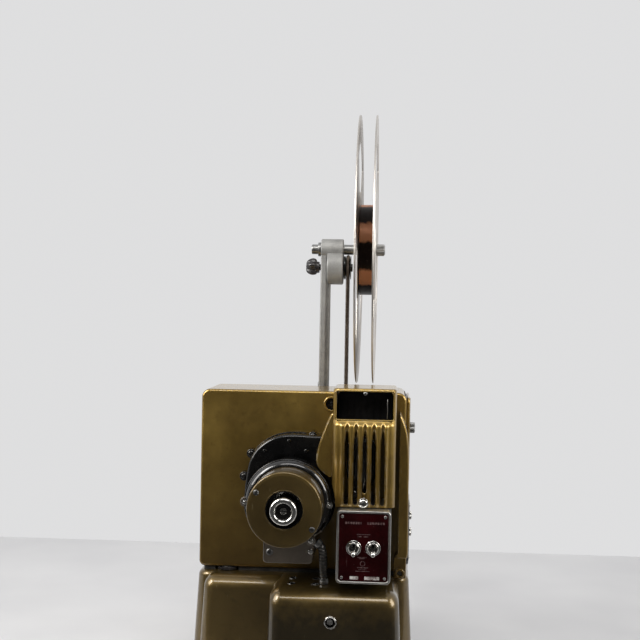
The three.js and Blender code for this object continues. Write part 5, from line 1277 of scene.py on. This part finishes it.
def make_mount_and_take_up():
    parts = [slab((-62, -27, 135, 309, 5, 6), "y", 83.3, 87, 1.0, 3)]
    for z in (TAKE_UP_DRIVE_Z, DRIVE_Z):
        parts.append(slab((-39.5, -28, z - 9, z + 9, 1.5, 3), "y", 86, 97))
        parts.append(hoop([(4.05, -39.5), (11, -39.5, 0.8), (11, -28, 0.8), (4.05, -28)], "x", (0, AY, z),
            64))
        parts.append(hoop([(4.05, -60), (6, -60, 0.6), (6, -38), (4.05, -38)], "x", (0, AY, z), 48))
    for k in range(4):
        parts.append(slab((-58 + 8 * k, -56 + 8 * k, 168, 278, 1, 4), "y", 86.5, 87.9, 0.6, 3))
    piece("arm_bracket", parts, CAST, "arm_mount", angle=40)
    screws = [aimed(SLOTTED, (x, 86.9, z), 3.2, x + z, (0, 1, 0)) for x in (-57, -32)
        for z in (170, 200, 246, 276)]
    piece("arm_bracket_screws", screws, NICKEL)
    for name, z in (("feed_drive_pulley", DRIVE_Z), ("take_up_drive_pulley", TAKE_UP_DRIVE_Z)):
        shaft = lathe([(0, -64), (3.6, -64, 0.4), (4, -63), (4, -26.2)] + PULLEY
            + [(4, -18), (4, -16.6, 0.5), (0, -16.6)], "x", (0, AY, z), 72)
        spokes = [lathe([(0, -26.35), (1.6, -26.35, 0.2), (1.6, -26.0), (0, -26.0)], "x",
            (0, *polar(AY, z, 8.5, a)), 20, mat=1) for a in np.radians((0, 90, 180, 270))]
        piece(name + "_wheel", [shaft] + spokes, [BLACK, NICKEL], name, body=name)
    line = degrees(atan2(TAKE_UP[1] - TAKE_UP_DRIVE_Z, TAKE_UP[0] - AY))
    outer = arc(AY, TAKE_UP_DRIVE_Z, 13, line + 90, line + 270, 28) + arc(*TAKE_UP, 10, line - 90, line
        + 90, 24)
    solid = boolean(prism(outer, "x", -52.5, -41.5, 1.8, 5),
        [lathe([(0, -52.5), (11, -52.5, 1.2), (11, -27, 1.2), (0, -27)], "x", TAKE_UP_AT, 64)], "UNION")
    bores = [rod(r, -60, -20, "x", (0, y, z), 48, mat=1)
        for r, y, z in ((6.05, AY, TAKE_UP_DRIVE_Z), (4.05, *TAKE_UP))]
    piece("take_up_casting", boolean(solid, bores), [CAST, BLACK], "take_up_arm", body="take_up_arm",
        angle=40)
    belt("take_up_belt", "take_up_arm", (AY, TAKE_UP_DRIVE_Z), TAKE_UP)
    spindle = lathe([(0, -61), (5.2, -61, 0.4), (5.6, -60), (5.6, -56), (7.6, -56, 0.3), (7.6, -53),
        (4, -53), (4, -26.2)] + PULLEY + [(5.8, -18), (5.8, -11.6, 0.4), (3.8, -11.6), (3.8, 11.6),
        (0, 11.6)], "x", TAKE_UP_AT, 64)
    grip = prism(scallops(5.6, 20, 0.45, 5), "x", 12, 18.2, 0.5, 3).moved(*TAKE_UP_AT)
    end = lathe([(0, 11.6), (4.8, 11.6), (4.8, 19, 0.7), (0, 19)], "x", TAKE_UP_AT, 40)
    piece("take_up_shaft", [spindle, grip, end], NICKEL, "take_up_spindle", body="take_up_spindle")


def card(verts, faces, name, glow, diffuse):
    """A glowing card that the camera can't see."""
    obj = _linked(name, verts, faces)
    n = Nodes(name, "none")
    grey = n.mix(n.span(n.noise(2, 3), 0.3, 0.7), (0.02, 0.02, 0.02), (0.03, 0.03, 0.03))
    n.finish(grey, 0.9, 0.0, Emission_Color=(1, 0.97, 0.93, 1), Emission_Strength=glow)
    obj.data.materials.append(n.material)
    obj.visible_camera = obj.visible_shadow = obj.visible_transmission = False
    obj.visible_diffuse = diffuse


def make_floor():
    size, far = 6.0, Y0 + 0.67  # the table's far edge
    floor = _linked("floor", [(-size, -size, 0), (size, -size, 0), (size, far, 0), (-size, far, 0)],
        [(0, 1, 2, 3)])
    n = Nodes("pale_floor", "none")
    pale = n.mix(n.span(n.noise(5, 4, 0.6), 0.35, 0.65), (0.68, 0.68, 0.69), (0.74, 0.74, 0.745))
    n.finish(pale, n.span(n.noise(40, 3), 0.3, 0.7, 0.55, 0.7), 0.0, [(n.noise(900, 3), 0.05, 0.05)])
    floor.data.materials.append(n.material)


def make_world():
    """A pale wall that brightens away from the camera."""
    world = bpy.data.worlds.new("studio")
    SCENE.world = world
    world.use_nodes = True
    tree = world.node_tree
    sky = tree.nodes["Background"]
    direction = tree.nodes.new("ShaderNodeTexCoord")
    split = tree.nodes.new("ShaderNodeSeparateXYZ")
    ramp = tree.nodes.new("ShaderNodeValToRGB")
    tree.links.new(direction.outputs["Generated"], split.inputs[0])
    tree.links.new(split.outputs["Y"], ramp.inputs["Fac"])
    tree.links.new(ramp.outputs["Color"], sky.inputs["Color"])
    for stop, at, colour in zip(ramp.color_ramp.elements, (0.0, 0.6),
            ((0.62, 0.62, 0.63, 1), (0.735, 0.735, 0.74, 1))):
        stop.position = at
        stop.color = colour
    sky.inputs["Strength"].default_value = 1.0


def make_cards():
    """The dark side of the studio, behind the camera, and two bright cards that only glossy parts see."""
    verts, faces = [], []
    columns, rows, reach = 40, 24, 2.6
    for j in range(rows + 1):
        for i in range(columns + 1):
            a = radians(-90 - 76 + 152 * i / columns)
            e = radians(-5 + 55 * j / rows)
            verts.append((*polar(X0, Y0, reach * cos(e), a), 0.3 + reach * sin(e)))
    for j in range(rows):
        for i in range(columns):
            k = j * (columns + 1) + i
            faces.append((k, k + 1, k + columns + 2, k + columns + 1))
    card(verts, faces, "dome_card", 0.022, True)
    corners = ((-3, -0.15), (3, -0.15), (3, -4), (-3, -4))
    card([(X0 + x, Y0 + y, 0.004) for x, y in corners], [(0, 1, 2, 3)], "floor_card", 0.008, False)
    for side, glow in ((-1, 7.0), (1, 8.0)):
        corners = ((1, -0.62, 0.45), (1, -0.1, 0.45), (0.86, -0.1, 1.15), (0.86, -0.62, 1.15))
        card([(X0 + side * x, Y0 + y, z) for x, y, z in corners], [(0, 1, 2, 3)], "softbox_card", glow, False)


def make_lights():
    target = Vector((X0 - 0.05, Y0, 0.27))
    for name, at, power, wide, high in (
            ("key", (-0.8, -0.5, 0.95), 8.0, 0.35, 0.5),
            ("fill", (1.5, -0.6, 1.2), 9, 0.5, 0.8),
            ("top", (0.0, -0.75, 1.4), 6.0, 0.9, 0.3)):
        lamp = bpy.data.lights.new(name, "AREA")
        lamp.shape = "RECTANGLE"
        lamp.energy = power
        lamp.size, lamp.size_y = wide, high
        lamp.color = (1.0, 0.985, 0.965)
        holder = bpy.data.objects.new(name, lamp)
        SCENE.collection.objects.link(holder)
        holder.location = Vector(at) + Vector((X0, Y0, 0))
        holder.rotation_euler = (target - holder.location).to_track_quat("-Z", "Y").to_euler()


def make_camera():
    """It stands behind the projector and a little above it, as the photographer did."""
    turn, roll, pitch = radians(3.7), radians(1.0), radians(0.65)
    side = Vector((cos(turn), sin(turn), 0))
    ahead = Vector((-sin(turn), cos(turn), 0))
    up = Vector((0, 0, 1))
    look = ahead * cos(pitch) - up * sin(pitch)
    above = up * cos(pitch) + ahead * sin(pitch)
    right = side * cos(roll) + above * sin(roll)
    top = above * cos(roll) - side * sin(roll)
    lens = bpy.data.cameras.new("camera")
    lens.lens = 61.875
    lens.sensor_width = 36
    lens.clip_end = 50
    camera = bpy.data.objects.new("camera", lens)
    SCENE.collection.objects.link(camera)
    place = Matrix((right, top, -look)).transposed().to_4x4()
    place.translation = Vector((28.803, -1162.636, 400.203)) * MM + Vector((X0, Y0, 0))
    camera.matrix_world = place
    SCENE.camera = camera
    SCENE.view_settings.view_transform = "Standard"


make_floor()
make_world()
make_cards()
make_lights()
make_camera()
make_base()
make_head()
make_film_path()
make_motor()
make_lamphouse()
make_switches()
make_feed_arm()
make_reel()
make_mount_and_take_up()
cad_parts["amplifier"].data.materials.clear()
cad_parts["amplifier"].data.materials.append(SHEET)

bpy.context.view_layer.update()
